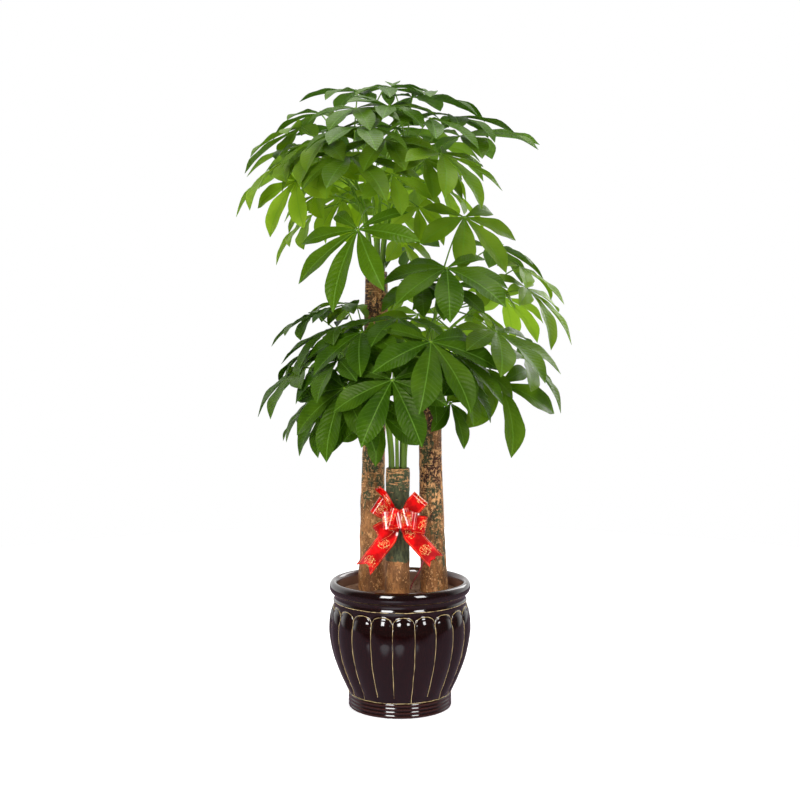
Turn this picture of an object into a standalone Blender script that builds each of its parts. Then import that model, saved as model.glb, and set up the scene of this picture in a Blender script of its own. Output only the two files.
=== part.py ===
"""A money tree (Pachira) in a fluted, glazed pot.

Three cut trunks stand in the soil of the pot. Green shoots rise from the cut top of each trunk
and carry palmate leaves on long stalks. A ribbon bow is tied round the shortest trunk.

Metres, +Z up. The origin is the middle of the pot's flat underside, and the side from which the
bow is seen faces -Y. Angles round the tree run from +X (0) over +Y (90), in degrees.
"""

import math
from random import Random

import bmesh
import bpy
from mathutils import Matrix, Vector
from mathutils.bvhtree import BVHTree

SEAT_GAP = 0.0003  # between two pieces where one rests on the other

# Pot
LOBES = 20  # flutes round the body
STEPS_PER_LOBE = 2
LOBE_TURN = math.radians(-6)  # where the first groove between two lobes lies, from -Y
RIM_MIDDLE = (0.1560, 0.2830)  # radius and height of the middle of the rolled rim
RIM_HALF = (0.0095, 0.0140)  # half its width and half its height
RIM_ANGLES = (180, 125, 90, 55, 0, -60)  # from its inner side over its top to its outer side
GROOVE_DEPTH = 0.0045
GROOVE_TOP = 0.236  # height of the arched tops of the lobes
GROOVE_FADE = 0.020  # over which a groove gets shallow at both its ends
FOOT_TOP = 0.034
FOOT_RADIUS = 0.1213
FOOT_RIBS = 4
FOOT_RIB_DEPTH = 0.0022
FLOOR = 0.016  # inside floor of the pot
WALL = 0.004  # at the least
NECK = ((0.1550, 0.2660), (0.1540, 0.2580), (0.1575, 0.2500), (0.1550, 0.2430))
BODY = (
    (0.1600, 0.2320),
    (0.1662, 0.2020),
    (0.1662, 0.1700),
    (0.1570, 0.1220),
    (0.1400, 0.0750),
)
INSIDE = ((0.1050, FLOOR), (0.1230, 0.0600), (0.1475, 0.1350), (0.1545, 0.1850), (0.1470, 0.2500))

# Soil
SOIL_GAP = 0.0006  # to the wall and floor of the pot
SOIL_TOP = ((0.1470, 0.2580), (0.1400, 0.2600), (0.0700, 0.2650), (0.0, 0.2670))
HOLE_GAP = 0.0004  # round and below each trunk

# Trunks: x, y, height and radius from the root end to the cut
TRUNK_SIDES = 14
TRUNK_ROOT = 0.1200
TRUNKS = {
    "tall": (
        (-0.066, 0.060, TRUNK_ROOT, 0.0345),
        (-0.066, 0.060, 0.272, 0.0345),
        (-0.066, 0.060, 0.330, 0.0315),
        (-0.065, 0.060, 0.450, 0.0285),
        (-0.063, 0.060, 0.580, 0.0272),
        (-0.061, 0.059, 0.720, 0.0278),
        (-0.058, 0.058, 0.860, 0.0270),
        (-0.056, 0.057, 0.960, 0.0274),
        (-0.056, 0.057, 1.020, 0.0258),
    ),
    "medium": (
        (0.081, 0.030, TRUNK_ROOT, 0.0335),
        (0.081, 0.030, 0.272, 0.0335),
        (0.079, 0.030, 0.330, 0.0312),
        (0.075, 0.030, 0.450, 0.0285),
        (0.072, 0.030, 0.580, 0.0272),
        (0.070, 0.030, 0.700, 0.0266),
        (0.069, 0.030, 0.800, 0.0250),
    ),
    "short": (
        (-0.006, -0.060, TRUNK_ROOT, 0.0285),
        (-0.006, -0.060, 0.272, 0.0285),
        (-0.006, -0.060, 0.330, 0.0280),
        (-0.005, -0.060, 0.440, 0.0272),
        (-0.005, -0.060, 0.500, 0.0268),
        (-0.005, -0.060, 0.548, 0.0282),
        (-0.005, -0.060, 0.568, 0.0268),
    ),
}
BARK_SWELL = 0.022  # how far the bark stands out and in, as a share of the radius

# Shoots: root angle on the cut, then the tip's angle, reach (cm) and height (cm)
SHOOT_RADIUS = (0.0048, 0.0028)
SHOOT_SIDES = 5
SHOOT_STEPS = 5
SHOOT_ROOT = 0.62  # where a shoot stands on the cut, as a share of the cut's radius
SHOOT_UPRIGHT = 0.60  # how far up it would rise straight, as a share of its height
SHOOTS = {
    "tall": ((205, 200, 9, 126), (270, 262, 9, 124), (320, 315, 10, 127),
             (10, 5, 9, 126), (75, 80, 9, 127), (140, 150, 8, 128)),
    "medium": ((285, 290, 8, 97), (350, 355, 9, 92), (60, 30, 4, 103), (140, 75, 7, 92)),
    "short": ((225, 225, 7, 77), (185, 185, 7, 79), (265, 262, 7, 76), (310, 300, 6, 80),
              (345, 330, 7, 76), (140, 150, 8, 80), (60, 80, 9, 79)),
}

# Leaves: shoot, then the hub's angle, reach (cm) and height (cm) from the trunk's axis, the
# way the leaf faces, how far it dips (degrees), its longest leaflet (cm) and its leaflets
LEAVES = {
    "tall": (
        (0, -163, 18, 135, -172, 28, 17, 6),
        (0, -160, 22, 127, -165, 38, 17, 6),
        (0, -144, 22, 122, -125, 62, 14, 6),
        (0, -123, 20, 130, -145, 30, 16, 6),
        (1, -97, 28, 110, -122, 56, 19, 7),
        (1, -103, 23, 126, -80, 24, 17, 6),
        (1, -97, 25, 132, -95, 8, 15, 6),
        (1, -94, 17, 137, -85, 14, 13, 5),
        (2, -54, 25, 127, -42, 30, 17, 7),
        (2, -56, 22, 135, -60, 22, 14, 6),
        (2, -50, 13, 141, -8, 4, 18, 6),
        (2, -81, 25, 122, -70, 45, 12, 5),
        (3, -14, 20, 133, -6, 0, 20, 6),
        (3, -23, 19, 137, -20, 10, 16, 6),
        (3, 21, 16, 123, 5, 38, 16, 5),
        (3, -15, 10, 117, -50, 52, 11, 6),
        (4, 121, 16, 137, 120, 20, 15, 6),
        (4, 74, 17, 138, 72, 20, 15, 6),
        (4, 45, 21, 134, 38, 28, 16, 6),
        (4, 94, 21, 127, 95, 45, 15, 6),
        (5, -126, 7, 143, 176, 0, 14, 5),
        (5, -78, 9, 143, -30, 2, 13, 5),
        (5, 178, 13, 139, 178, 8, 13, 5),
        (5, 155, 17, 116, 175, 46, 15, 5),
        (5, 138, 22, 131, 142, 28, 16, 6),
        (0, -172, 14, 120, -150, 48, 12, 5),
        (3, -62, 12, 109, -38, 50, 12, 5),
        (5, 165, 19, 132, 170, 22, 15, 6),
    ),
    "medium": (
        (0, -81, 21, 102, -88, 32, 18, 7),
        (0, -46, 21, 88, -38, 30, 18, 7),
        (0, -36, 13, 80, -60, 58, 13, 5),
        (1, -8, 21, 103, -22, 34, 14, 5),
        (1, 2, 23, 98, -24, 44, 18, 6),
        (1, -5, 22, 82, -18, 46, 16, 5),
        (1, -16, 17, 76, -52, 60, 18, 5),
        (2, -45, 11, 114, -62, 50, 16, 6),
        (2, 15, 16, 108, 20, 22, 15, 6),
        (2, 110, 8, 109, 165, 32, 14, 5),
        (3, 36, 12, 94, 5, 36, 14, 6),
        (3, 39, 24, 96, 45, 40, 15, 6),
        (3, 70, 18, 88, 85, 42, 15, 6),
        (3, 112, 12, 97, 150, 30, 14, 6),
        (0, -100, 9, 99, -120, 24, 13, 6),
    ),
    "short": (
        (0, -125, 20, 76, -122, 56, 16, 7),
        (0, -133, 19, 82, -145, 34, 14, 6),
        (1, -170, 22, 80, -162, 42, 16, 6),
        (1, -172, 14, 89, -165, 28, 15, 6),
        (1, 159, 22, 72, -175, 56, 13, 6),
        (2, -93, 22, 78, -92, 58, 16, 6),
        (2, -125, 14, 88, -120, 34, 15, 6),
        (2, -112, 10, 70, -105, 72, 12, 5),
        (3, -68, 19, 86, -68, 46, 18, 6),
        (3, -90, 9, 91, -95, 8, 14, 6),
        (4, -48, 19, 83, -42, 44, 15, 6),
        (4, -24, 13, 72, -50, 60, 11, 5),
        (5, 133, 24, 84, 150, 42, 15, 6),
        (5, 150, 11, 94, 172, 2, 12, 5),
        (6, 106, 25, 85, 110, 42, 14, 6),
        (6, 78, 26, 83, 75, 42, 14, 6),
        (0, -158, 17, 72, -145, 60, 14, 6),
        (1, -178, 12, 94, 178, 14, 13, 5),
        (5, 147, 7, 91, -105, 48, 12, 5),
        (5, 165, 20, 92, 175, 30, 13, 5),
        (1, 180, 19, 84, 178, 38, 14, 6),
        (2, -118, 17, 74, -112, 60, 14, 6),
        (4, -38, 17, 79, -30, 50, 14, 6),
    ),
}
LEAFLET_STEP = {5: 54, 6: 46, 7: 41}  # angle between leaflets, by their number
LEAFLET_SWAY = 4  # by which a leaflet's own angle differs
LEAFLET_SIZE = (0.93, 1.05)
SIDE_LEAFLET = 0.38  # how much shorter the leaflets at the leaf's back are
LEAFLET_WIDTH = 0.37  # of its length
LEAFLET_THICK = 0.0014  # at the rib
LEAFLET_FOLD = 0.22  # how far the edges stand above the rib, as a share of half the width
LEAFLET_RISE = 0.15  # slope at which a leaflet sets out, in radians
LEAFLET_DROOP = (0.02, 0.24)  # how far a leaflet hangs below the plane of its leaf
LEAFLET_BEND = (0.25, 0.70)  # how much a leaflet arches over its length, in radians
# Share of the length, and of half the width there: a short leaflet has two stations
SHORT_LEAFLET = 0.145
SHORT_STATIONS = ((0.38, 0.84), (0.76, 0.86))
LONG_STATIONS = ((0.28, 0.62), (0.58, 1.0), (0.85, 0.62))
HUB_RADIUS = 0.0045
HUB_HALF = 0.0016  # half its thickness
HUB_BACK = 24  # angle between an outer leaflet and the back of the hub
STALK_RADIUS = (0.0019, 0.0014)
STALK_SIDES = 3
STALK_STEPS = 4
STALK_ROOTS = (0.50, 0.97)  # the shares of a shoot's length between which its stalks leave it
STALK_ARCH = 0.16  # how far a stalk arches up, as a share of its length

# Where a stalk or a leaflet would touch another, it is moved, a little more at each try
CLEARANCE = 0.0016
TRIES = 60
SHIFT_MORE = 0.0006  # of a hub, at each try
ARCH_MORE = (-0.004, 0.006)
SWAY_MORE = 0.004
SWING_MOST = 13  # of a leaflet, by the last try
DROOP_MOST = 0.75
BEND_MOST = (-0.2, 0.7)
SHORT_TRIES = 36  # after which the leaflet is made shorter
SHORTER = 0.72

# Bow, seen from -Y: the middle, then loops and tails as an angle (0 right, 90 up), a lean
# towards -Y and a length
RIBBON_WIDTH = 0.040
RIBBON_THICK = 0.0010
BOW_MIDDLE = Vector((0.0, -0.1080, 0.4530))
KNOT_HALF = (0.0090, 0.0155)  # half its width and its height
KNOT_FRONT = 0.0135
KNOT_SQUEEZE = 0.75  # the size of its front, as a share of its back
LOOPS = (
    (48, 6, 0.072),
    (146, 6, 0.069),
    (209, 8, 0.061),
    (-10, 8, 0.061),
    (172, 56, 0.046),
    (8, 60, 0.048),
)
LOOP_RINGS = 8
LOOP_ROOT = 164  # degrees round the loop from its far end to where it meets the knot
LOOP_DEPTH = 0.0120  # how far a loop bulges to both sides of its middle
LOOP_ROOT_WIDTH = 0.012
TAILS = ((-127, 0.138, RIBBON_WIDTH), (-48, 0.123, RIBBON_WIDTH), (119, 0.078, 0.014))
TAIL_START = 0.0040  # before the bow's middle
TAIL_SHARES = (0.0, 0.22, 0.5, 0.78, 1.0)
TAIL_SAG = 0.0100
TAIL_NOTCH = 0.45  # of the tail's width
TIE_HEIGHT = 0.0070
TIE_THICK = 0.0012

# String: the free end of the bow's drawstring, from the knot down to the soil
STRING_RADIUS = 0.0018
STRING_STEPS = 2  # between two points of its route
STRING_ROUTE = (
    (0.0000, -0.0985, 0.4380),
    (0.0030, -0.0985, 0.4290),
    (0.0180, -0.0950, 0.4130),
    (0.0360, -0.0800, 0.3960),
    (0.0500, -0.0600, 0.3790),
    (0.0555, -0.0420, 0.3600),
    (0.0520, -0.0240, 0.3390),
    (0.0445, -0.0060, 0.3165),
    (0.0350, 0.0110, 0.2960),
    (0.0285, 0.0260, 0.2800),
    (0.0258, 0.0380, 0.2672),
)


def material(name, colour, roughness, metallic=0.0):
    """A Principled material of one colour."""
    mat = bpy.data.materials.new(name)
    mat.use_nodes = True
    shader = mat.node_tree.nodes["Principled BSDF"]
    shader.inputs["Base Color"].default_value = (*colour, 1.0)
    shader.inputs["Roughness"].default_value = roughness
    shader.inputs["Metallic"].default_value = metallic
    return mat


def add_object(name, bm, mat, collection):
    """A named object from a bmesh, its faces turned outwards."""
    bmesh.ops.recalc_face_normals(bm, faces=bm.faces)
    mesh = bpy.data.meshes.new(name)
    bm.to_mesh(mesh)
    bm.free()
    mesh.materials.append(mat)
    obj = bpy.data.objects.new(name, mesh)
    collection.objects.link(obj)
    return obj


def polar(degrees, reach, height=0.0):
    angle = math.radians(degrees)
    return Vector((reach * math.cos(angle), reach * math.sin(angle), height))


# Turned pieces


def turned(profile, steps):
    """A bmesh of a profile of (radius, height) turned once round Z, closed on the axis."""
    bm = bmesh.new()
    points = [bm.verts.new((radius, 0.0, height)) for radius, height in profile]
    edges = [bm.edges.new(pair) for pair in zip(points, points[1:])]
    start = Matrix.Rotation(LOBE_TURN - math.pi / 2, 3, "Z")
    bmesh.ops.rotate(bm, verts=points, cent=(0, 0, 0), matrix=start)
    bmesh.ops.spin(
        bm, geom=points + edges, cent=(0, 0, 0), axis=(0, 0, 1), angle=math.tau,
        steps=steps, use_merge=True,
    )
    bmesh.ops.remove_doubles(bm, verts=bm.verts, dist=0.00005)
    return bm


def pot_profile():
    """Radius and height from the middle of the inside floor, over the rim, to the underside."""
    rim = []
    for degrees in RIM_ANGLES:
        point = polar(degrees, 1.0)
        rim.append((RIM_MIDDLE[0] + RIM_HALF[0] * point.x, RIM_MIDDLE[1] + RIM_HALF[1] * point.y))
    foot = []
    rib = FOOT_TOP / FOOT_RIBS
    for i in range(FOOT_RIBS):
        foot.append((FOOT_RADIUS - FOOT_RIB_DEPTH, FOOT_TOP - i * rib))
        foot.append((FOOT_RADIUS, FOOT_TOP - (i + 0.5) * rib))
    foot.append((FOOT_RADIUS - FOOT_RIB_DEPTH, 0.0))
    return [(0.0, FLOOR), *INSIDE, *rim, *NECK, *BODY, *foot, (0.0, 0.0)]


def groove(angle, height):
    """How far the body is drawn in between two lobes, at an angle from -Y."""
    if not FOOT_TOP < height < GROOVE_TOP:
        return 0.0
    phase = (angle - LOBE_TURN) * LOBES / math.tau % 1.0
    lobe = abs(2.0 * phase - 1.0)  # 1 in a groove, 0 on the crest between two
    ends = min(1.0, (GROOVE_TOP - height) / GROOVE_FADE, (height - FOOT_TOP) / GROOVE_FADE)
    return GROOVE_DEPTH * ends * lobe**2


def inside_radius(height):
    """Radius of the pot's inner wall at a height."""
    for (low_radius, low), (high_radius, high) in zip(INSIDE, INSIDE[1:]):
        if height < high:
            return low_radius + (high_radius - low_radius) * (height - low) / (high - low)
    return INSIDE[-1][0]


def build_pot(collection):
    bm = turned(pot_profile(), LOBES * STEPS_PER_LOBE)
    for vert in bm.verts:
        radius = math.hypot(vert.co.x, vert.co.y)
        if radius > inside_radius(vert.co.z) + WALL:
            angle = math.atan2(vert.co.x, -vert.co.y)
            scale = (radius - groove(angle, vert.co.z)) / radius
            vert.co.x *= scale
            vert.co.y *= scale
    add_object("pot", bm, material("glaze", (0.022, 0.008, 0.008), 0.12), collection)


def soil_profile():
    """Radius and height from the middle of the soil's flat bottom to the middle of its top."""
    side = [(radius - SOIL_GAP, height) for radius, height in (*INSIDE, SOIL_TOP[0])]
    side[0] = (side[0][0], FLOOR + SOIL_GAP)
    return [(0.0, FLOOR + SOIL_GAP), *side, *SOIL_TOP[1:]]


def build_soil(collection, cutters):
    bm = turned(soil_profile(), LOBES)
    soil = add_object("soil", bm, material("soil", (0.12, 0.07, 0.04), 0.95), collection)
    for name, rings in TRUNKS.items():
        x, y, root, radius = rings[0]
        depth = SOIL_TOP[-1][1]
        bm = bmesh.new()
        bmesh.ops.create_cone(
            bm, cap_ends=True, segments=TRUNK_SIDES, radius1=radius + HOLE_GAP,
            radius2=radius + HOLE_GAP, depth=depth,
        )
        # The cone's first corner is on +Y, a trunk's is on +X
        turn = Matrix.Rotation(-math.pi / 2, 3, "Z")
        bmesh.ops.rotate(bm, verts=bm.verts, cent=(0, 0, 0), matrix=turn)
        bmesh.ops.translate(bm, verts=bm.verts, vec=(x, y, root - HOLE_GAP + depth / 2))
        hole = add_object(f"hole_{name}", bm, soil.data.materials[0], cutters)
        hole.hide_render = True
        hole.display_type = "WIRE"
        cut = soil.modifiers.new(f"hole_{name}", "BOOLEAN")
        cut.operation = "DIFFERENCE"
        cut.object = hole


# Lofted pieces: a shape is a list of points and a list of faces


def loft(points, sides, closed=False):
    """The shape through rings of points that follow one another, capped or joined up."""
    count = len(points)
    faces = []
    if not closed:
        faces = [tuple(range(sides)), tuple(range(count - sides, count))]
    for start in range(0, count if closed else count - sides, sides):
        after = (start + sides) % count
        for i in range(sides):
            j = (i + 1) % sides
            faces.append((start + i, start + j, after + j, after + i))
    return points, faces


def shape_mesh(shape):
    bm = bmesh.new()
    points, faces = shape
    verts = [bm.verts.new(point) for point in points]
    for face in faces:
        bm.faces.new([verts[i] for i in face])
    return bm


def frames(points):
    """The direction of a path at each of its points, and two directions across it."""
    result = []
    across = None
    for i in range(len(points)):
        along = (points[min(i + 1, len(points) - 1)] - points[max(i - 1, 0)]).normalized()
        if across is None:
            across = along.orthogonal().normalized()
        across = (across - along * across.dot(along)).normalized()
        result.append((along, across, along.cross(across)))
    return result


def tube(path, radii, sides):
    """A closed tube along a path, its radius even from the first to the last of two."""
    points = []
    for i, (point, (_, across, over)) in enumerate(zip(path, frames(path))):
        radius = radii[0] + (radii[1] - radii[0]) * i / (len(path) - 1)
        for k in range(sides):
            angle = math.tau * k / sides
            points.append(point + radius * (math.cos(angle) * across + math.sin(angle) * over))
    return loft(points, sides)


def curve(start, middle, end, steps):
    """Points on the curve that leaves its start towards the middle and comes from there."""
    shares = [i / steps for i in range(steps + 1)]
    return [start * (1 - t) ** 2 + middle * 2 * t * (1 - t) + end * t * t for t in shares]


# Trunks


def trunk_rings(trunk):
    """The rings of a trunk, with swellings in its bark above the soil."""
    rings = []
    for number, (x, y, height, radius) in enumerate(TRUNKS[trunk]):
        swell = BARK_SWELL if 1 < number < len(TRUNKS[trunk]) - 1 else 0.0
        ring = []
        for i in range(TRUNK_SIDES):
            angle = math.tau * i / TRUNK_SIDES
            bump = math.sin(2 * angle + 31 * height) + 0.6 * math.sin(5 * angle - 17 * height)
            reach = radius * (1 + swell * bump)
            ring.append(Vector((x + reach * math.cos(angle), y + reach * math.sin(angle), height)))
        rings.append(ring)
    return rings


def trunk_section(trunk, height):
    """The corners of a trunk's outline at a height."""
    rings = trunk_rings(trunk)
    for low, high in zip(rings, rings[1:]):
        if height < high[0].z:
            share = (height - low[0].z) / (high[0].z - low[0].z)
            return [a.lerp(b, share) for a, b in zip(low, high)]
    return rings[-1]


def trunk_shape(trunk):
    return loft([point for ring in trunk_rings(trunk) for point in ring], TRUNK_SIDES)


def build_trunks(collection):
    colours = {"tall": (0.20, 0.12, 0.06), "medium": (0.17, 0.10, 0.05), "short": (0.13, 0.13, 0.07)}
    for trunk in TRUNKS:
        mat = material(f"bark_{trunk}", colours[trunk], 0.75)
        add_object(f"trunk_{trunk}", shape_mesh(trunk_shape(trunk)), mat, collection)


# Leaves


class Leaflet:
    """One leaflet: an arched blade from the side of the leaf's hub to its tip."""

    def __init__(self, root, turn, along, up, length, bend):
        self.root = root
        self.turn = turn
        self.side = up.cross(along).normalized()
        self.along = along
        self.up = along.cross(self.side)
        self.length = length
        self.bend = bend
        self.stations = SHORT_STATIONS if length < SHORT_LEAFLET else LONG_STATIONS

    def at(self, share):
        """The rib's point at a share of the length, and the blade's normal there."""
        angle = self.bend * share - LEAFLET_RISE
        forward = (math.sin(angle) + math.sin(LEAFLET_RISE)) / self.bend
        lift = (math.cos(angle) - math.cos(LEAFLET_RISE)) / self.bend
        point = self.root + self.length * (forward * self.along + lift * self.up)
        return point, self.up * math.cos(angle) + self.along * math.sin(angle)

    def points(self, grow=0.0):
        """Left edge, rib, right edge and keel at each station, and the tip."""
        result = []
        for share, wide in self.stations:
            rib, normal = self.at(share)
            half = self.length * LEAFLET_WIDTH / 2 * wide
            edge = rib + normal * half * LEAFLET_FOLD
            out = self.side * (half + grow)
            thick = normal * (LEAFLET_THICK / 2 + grow)
            result += [edge - out, rib + thick, edge + out, rib - thick]
        result.append(self.at(1.0 + grow / self.length)[0])
        return result

    def faces(self, root, first):
        """Triangles from the numbers of four root points and of the first own point."""
        low_left, high_left, high_right, low_right = root
        left, rib, right, keel = range(first, first + 4)
        faces = [(low_left, high_left, left), (high_left, rib, left), (high_left, high_right, rib),
                 (high_right, right, rib), (high_right, low_right, right), (low_right, keel, right),
                 (low_right, low_left, keel), (low_left, left, keel)]
        last = first + 4 * (len(self.stations) - 1)
        for start in range(first, last, 4):
            for edge in (start, start + 2):
                for middle in (start + 1, start + 3):
                    faces.append((edge, middle, middle + 4))
                    faces.append((edge, middle + 4, edge + 4))
        tip = last + 4
        return faces + [(last + i, last + (i + 1) % 4, tip) for i in range(4)]

    def loose(self, grow=0.0):
        """The leaflet by itself, a little swollen, to find out what it would touch."""
        root = [self.root + self.side * x * HUB_HALF + self.up * z * HUB_HALF
                for x, z in ((-1, -1), (-1, 1), (1, 1), (1, -1))]
        return root + self.points(grow), self.faces((0, 1, 2, 3), 4)


class Leaf:
    """A palmate leaf: a small hub at the end of its stalk, and leaflets that fan out from it."""

    def __init__(self, stalk, facing, dip):
        self.stalk = stalk
        self.hub = stalk[-1]
        self.flat = math.cos(math.radians(dip))
        self.ahead = polar(facing, self.flat, -math.sin(math.radians(dip)))
        self.across = polar(facing + 90, 1.0)
        self.up = self.ahead.cross(self.across)
        self.leaflets = []

    def direction(self, degrees):
        turn = polar(degrees, 1.0)
        return self.ahead * turn.x + self.across * turn.y

    def shape(self):
        """The hub and its leaflets as one closed shape."""
        turns = [leaflet.turn for leaflet in self.leaflets]
        corners = [(a + b) / 2 for a, b in zip(turns, turns[1:])]
        points = []
        for corner in (turns[0] - HUB_BACK, *corners, turns[-1] + HUB_BACK):
            edge = self.hub + self.direction(corner) * HUB_RADIUS
            points += [edge - self.up * HUB_HALF, edge + self.up * HUB_HALF]
        low = range(0, len(points), 2)
        high = range(1, len(points), 2)
        faces = [tuple(low), tuple(high), (low[-1], high[-1], high[0], low[0])]
        for i, leaflet in enumerate(self.leaflets):
            faces += leaflet.faces((low[i], high[i], high[i + 1], low[i + 1]), len(points))
            points += leaflet.points()
        return points, faces


class Space:
    """What is placed already. An owner is a trunk, a shoot's number and a leaf's number."""

    def __init__(self):
        self.filled = []

    def box(self, points):
        return [(min(values), max(values)) for values in zip(*points)]

    def add(self, owner, shape):
        self.filled.append((owner, self.box(shape[0]), BVHTree.FromPolygons(*shape)))

    def touches(self, shape, spare):
        """Whether a shape touches what is placed, apart from what owners begin with spare."""
        box = self.box(shape[0])
        tree = BVHTree.FromPolygons(*shape)
        for owner, other_box, other in self.filled:
            near = all(a[0] <= b[1] and b[0] <= a[1] for a, b in zip(box, other_box))
            if near and owner[:len(spare)] != spare and tree.overlap(other):
                return True
        return False


def trunk_axis(trunk):
    x, y, _, _ = TRUNKS[trunk][-1]
    return Vector((x, y, 0.0))


def shoot_path(trunk, shoot):
    """The points along a shoot, from the cut top of its trunk to its tip."""
    _, _, top, radius = TRUNKS[trunk][-1]
    root_angle, tip_angle, reach, height = SHOOTS[trunk][shoot]
    root = trunk_axis(trunk) + polar(root_angle, radius * SHOOT_ROOT, top + SEAT_GAP)
    tip = trunk_axis(trunk) + polar(tip_angle, reach / 100, height / 100)
    middle = Vector((root.x, root.y, root.z + SHOOT_UPRIGHT * (tip.z - root.z)))
    return curve(root, middle, tip, SHOOT_STEPS)


def shoot_shape(path):
    """A shoot's tube with its lowest ring level, so that it stands on the cut."""
    points, faces = tube(path, SHOOT_RADIUS, SHOOT_SIDES)
    for point in points[:SHOOT_SIDES]:
        point.z = path[0].z
    return points, faces


def stalk_room(stalk, grow=0.0):
    """The room that a stalk and the hub at its end take up, a little swollen."""
    beyond = stalk[-1] + (stalk[-1] - stalk[-2]).normalized() * HUB_RADIUS
    return tube([*stalk, beyond], (STALK_RADIUS[0] + grow, HUB_RADIUS + grow), 4)


def stalk_path(trunk, number, path, space):
    """A leaf's stalk. A low leaf's leaves its shoot low down, the highest at its tip."""
    shoot, angle, reach, height = LEAVES[trunk][number][:4]
    heights = sorted(row[3] for row in LEAVES[trunk] if row[0] == shoot)
    rank = (heights.index(height) + 1) / len(heights)
    step = (STALK_ROOTS[0] + (STALK_ROOTS[1] - STALK_ROOTS[0]) * rank) * SHOOT_STEPS
    whole = int(step)
    root = path[whole].lerp(path[whole + 1], step - whole)
    draw = Random(1000 * len(trunk) + number)
    for attempt in range(TRIES):
        loose = SHIFT_MORE * attempt
        shift = Vector([draw.uniform(-loose, loose) for _ in range(3)])
        hub = trunk_axis(trunk) + polar(angle, reach / 100, height / 100) + shift
        span = (hub - root).length
        arch = STALK_ARCH + draw.uniform(*ARCH_MORE) * attempt
        sway = draw.uniform(-SWAY_MORE, SWAY_MORE) * attempt
        side = (hub - root).cross(Vector((0, 0, 1))).normalized()
        middle = root.lerp(hub, 0.55) + Vector((0, 0, arch * span)) + side * sway * span
        stalk = curve(root, middle, hub, STALK_STEPS)
        if not space.touches(stalk_room(stalk, CLEARANCE), (trunk, shoot)):
            break
    return stalk


def place_leaflets(trunk, number, leaf, space):
    """The leaflets of a leaf, each swung, drooped or shortened until it is clear of the rest."""
    shoot, _, _, _, _, _, longest, count = LEAVES[trunk][number]
    owner = (trunk, shoot, number)
    draw = Random(7000 * len(trunk) + number)
    for i in range(count):
        turn = (i - (count - 1) / 2) * LEAFLET_STEP[count] + draw.uniform(-LEAFLET_SWAY, LEAFLET_SWAY)
        back = 1 - math.cos(math.radians(0.75 * turn))
        full = longest / 100 * (1 - SIDE_LEAFLET * back) * draw.uniform(*LEAFLET_SIZE)
        droop = draw.uniform(*LEAFLET_DROOP)
        bend = draw.uniform(*LEAFLET_BEND)
        root = leaf.hub + leaf.direction(turn) * HUB_RADIUS * 0.9
        for attempt in range(TRIES):
            loose = attempt / TRIES
            swing = turn + draw.uniform(-SWING_MOST, SWING_MOST) * loose
            fall = (droop + draw.uniform(-DROOP_MOST, DROOP_MOST) * loose) * leaf.flat
            along = (leaf.direction(swing) - Vector((0, 0, fall))).normalized()
            curl = bend + draw.uniform(*BEND_MOST) * loose
            length = full if attempt < SHORT_TRIES else full * SHORTER
            leaflet = Leaflet(root, turn, along, leaf.up, length, curl)
            if not space.touches(leaflet.loose(CLEARANCE), owner):
                leaf.leaflets.append(leaflet)
                break
    for leaflet in leaf.leaflets:
        space.add(owner, leaflet.loose())


def place_tree():
    """Every shoot, stalk and leaflet, each bent clear of what stands there already.

    The result lists, for each shoot, its path and its leaves.
    """
    space = Space()
    tree = {}
    for trunk in TRUNKS:
        space.add((trunk, None, None), trunk_shape(trunk))
        for shoot in range(len(SHOOTS[trunk])):
            path = shoot_path(trunk, shoot)
            tree[trunk, shoot] = (path, [])
            space.add((trunk, shoot, None), shoot_shape(path))
    placed = []
    for trunk, rows in LEAVES.items():
        for number, (shoot, _, _, _, facing, dip, _, _) in enumerate(rows):
            path, leaves = tree[trunk, shoot]
            leaf = Leaf(stalk_path(trunk, number, path, space), facing, dip)
            space.add((trunk, shoot, number), stalk_room(leaf.stalk))
            leaves.append(leaf)
            placed.append((trunk, number, leaf))
    for trunk, number, leaf in placed:
        place_leaflets(trunk, number, leaf, space)
    return tree


def build_shoots(collection):
    """One node for each shoot, its stalks and leaves joined with it."""
    mat = material("leaf", (0.07, 0.22, 0.03), 0.4)
    for (trunk, shoot), (path, leaves) in place_tree().items():
        name = f"shoot_{trunk}_{shoot + 1}"
        stem = add_object(name, shape_mesh(shoot_shape(path)), mat, collection)
        repeats = bpy.data.collections.new(f"{name}_leaves")
        for i, leaf in enumerate(leaves):
            stalk = tube(leaf.stalk, STALK_RADIUS, STALK_SIDES)
            add_object(f"{name}_stalk_{i}", shape_mesh(stalk), mat, repeats)
            add_object(f"{name}_leaf_{i}", shape_mesh(leaf.shape()), mat, repeats)
        join(stem, repeats)


def keep_largest_island(mesh):
    bm = bmesh.new()
    bm.from_mesh(mesh)
    loose = set(bm.faces)
    islands = []
    while loose:
        island = [loose.pop()]
        for face in island:
            near = {other for edge in face.edges for other in edge.link_faces} & loose
            loose -= near
            island += near
        islands.append(island)
    islands.sort(key=len)
    scraps = [face for island in islands[:-1] for face in island]
    bmesh.ops.delete(bm, geom=scraps, context="FACES")
    bm.to_mesh(mesh)
    bm.free()


def join(obj, repeats):
    """Unites an object with all that a collection holds, which is then removed.

    A hollow or scrap that the union leaves is a loose island, and only the largest stays.
    """
    bpy.context.scene.collection.children.link(repeats)
    union = obj.modifiers.new("join", "BOOLEAN")
    union.operation = "UNION"
    union.operand_type = "COLLECTION"
    union.collection = repeats
    union.solver = "MANIFOLD"
    mesh = bpy.data.meshes.new_from_object(obj.evaluated_get(bpy.context.evaluated_depsgraph_get()))
    obj.modifiers.remove(union)
    keep_largest_island(mesh)
    obj.data = mesh
    for other in list(repeats.objects):
        bpy.data.objects.remove(other)
    bpy.data.collections.remove(repeats)


# Bow


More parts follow.
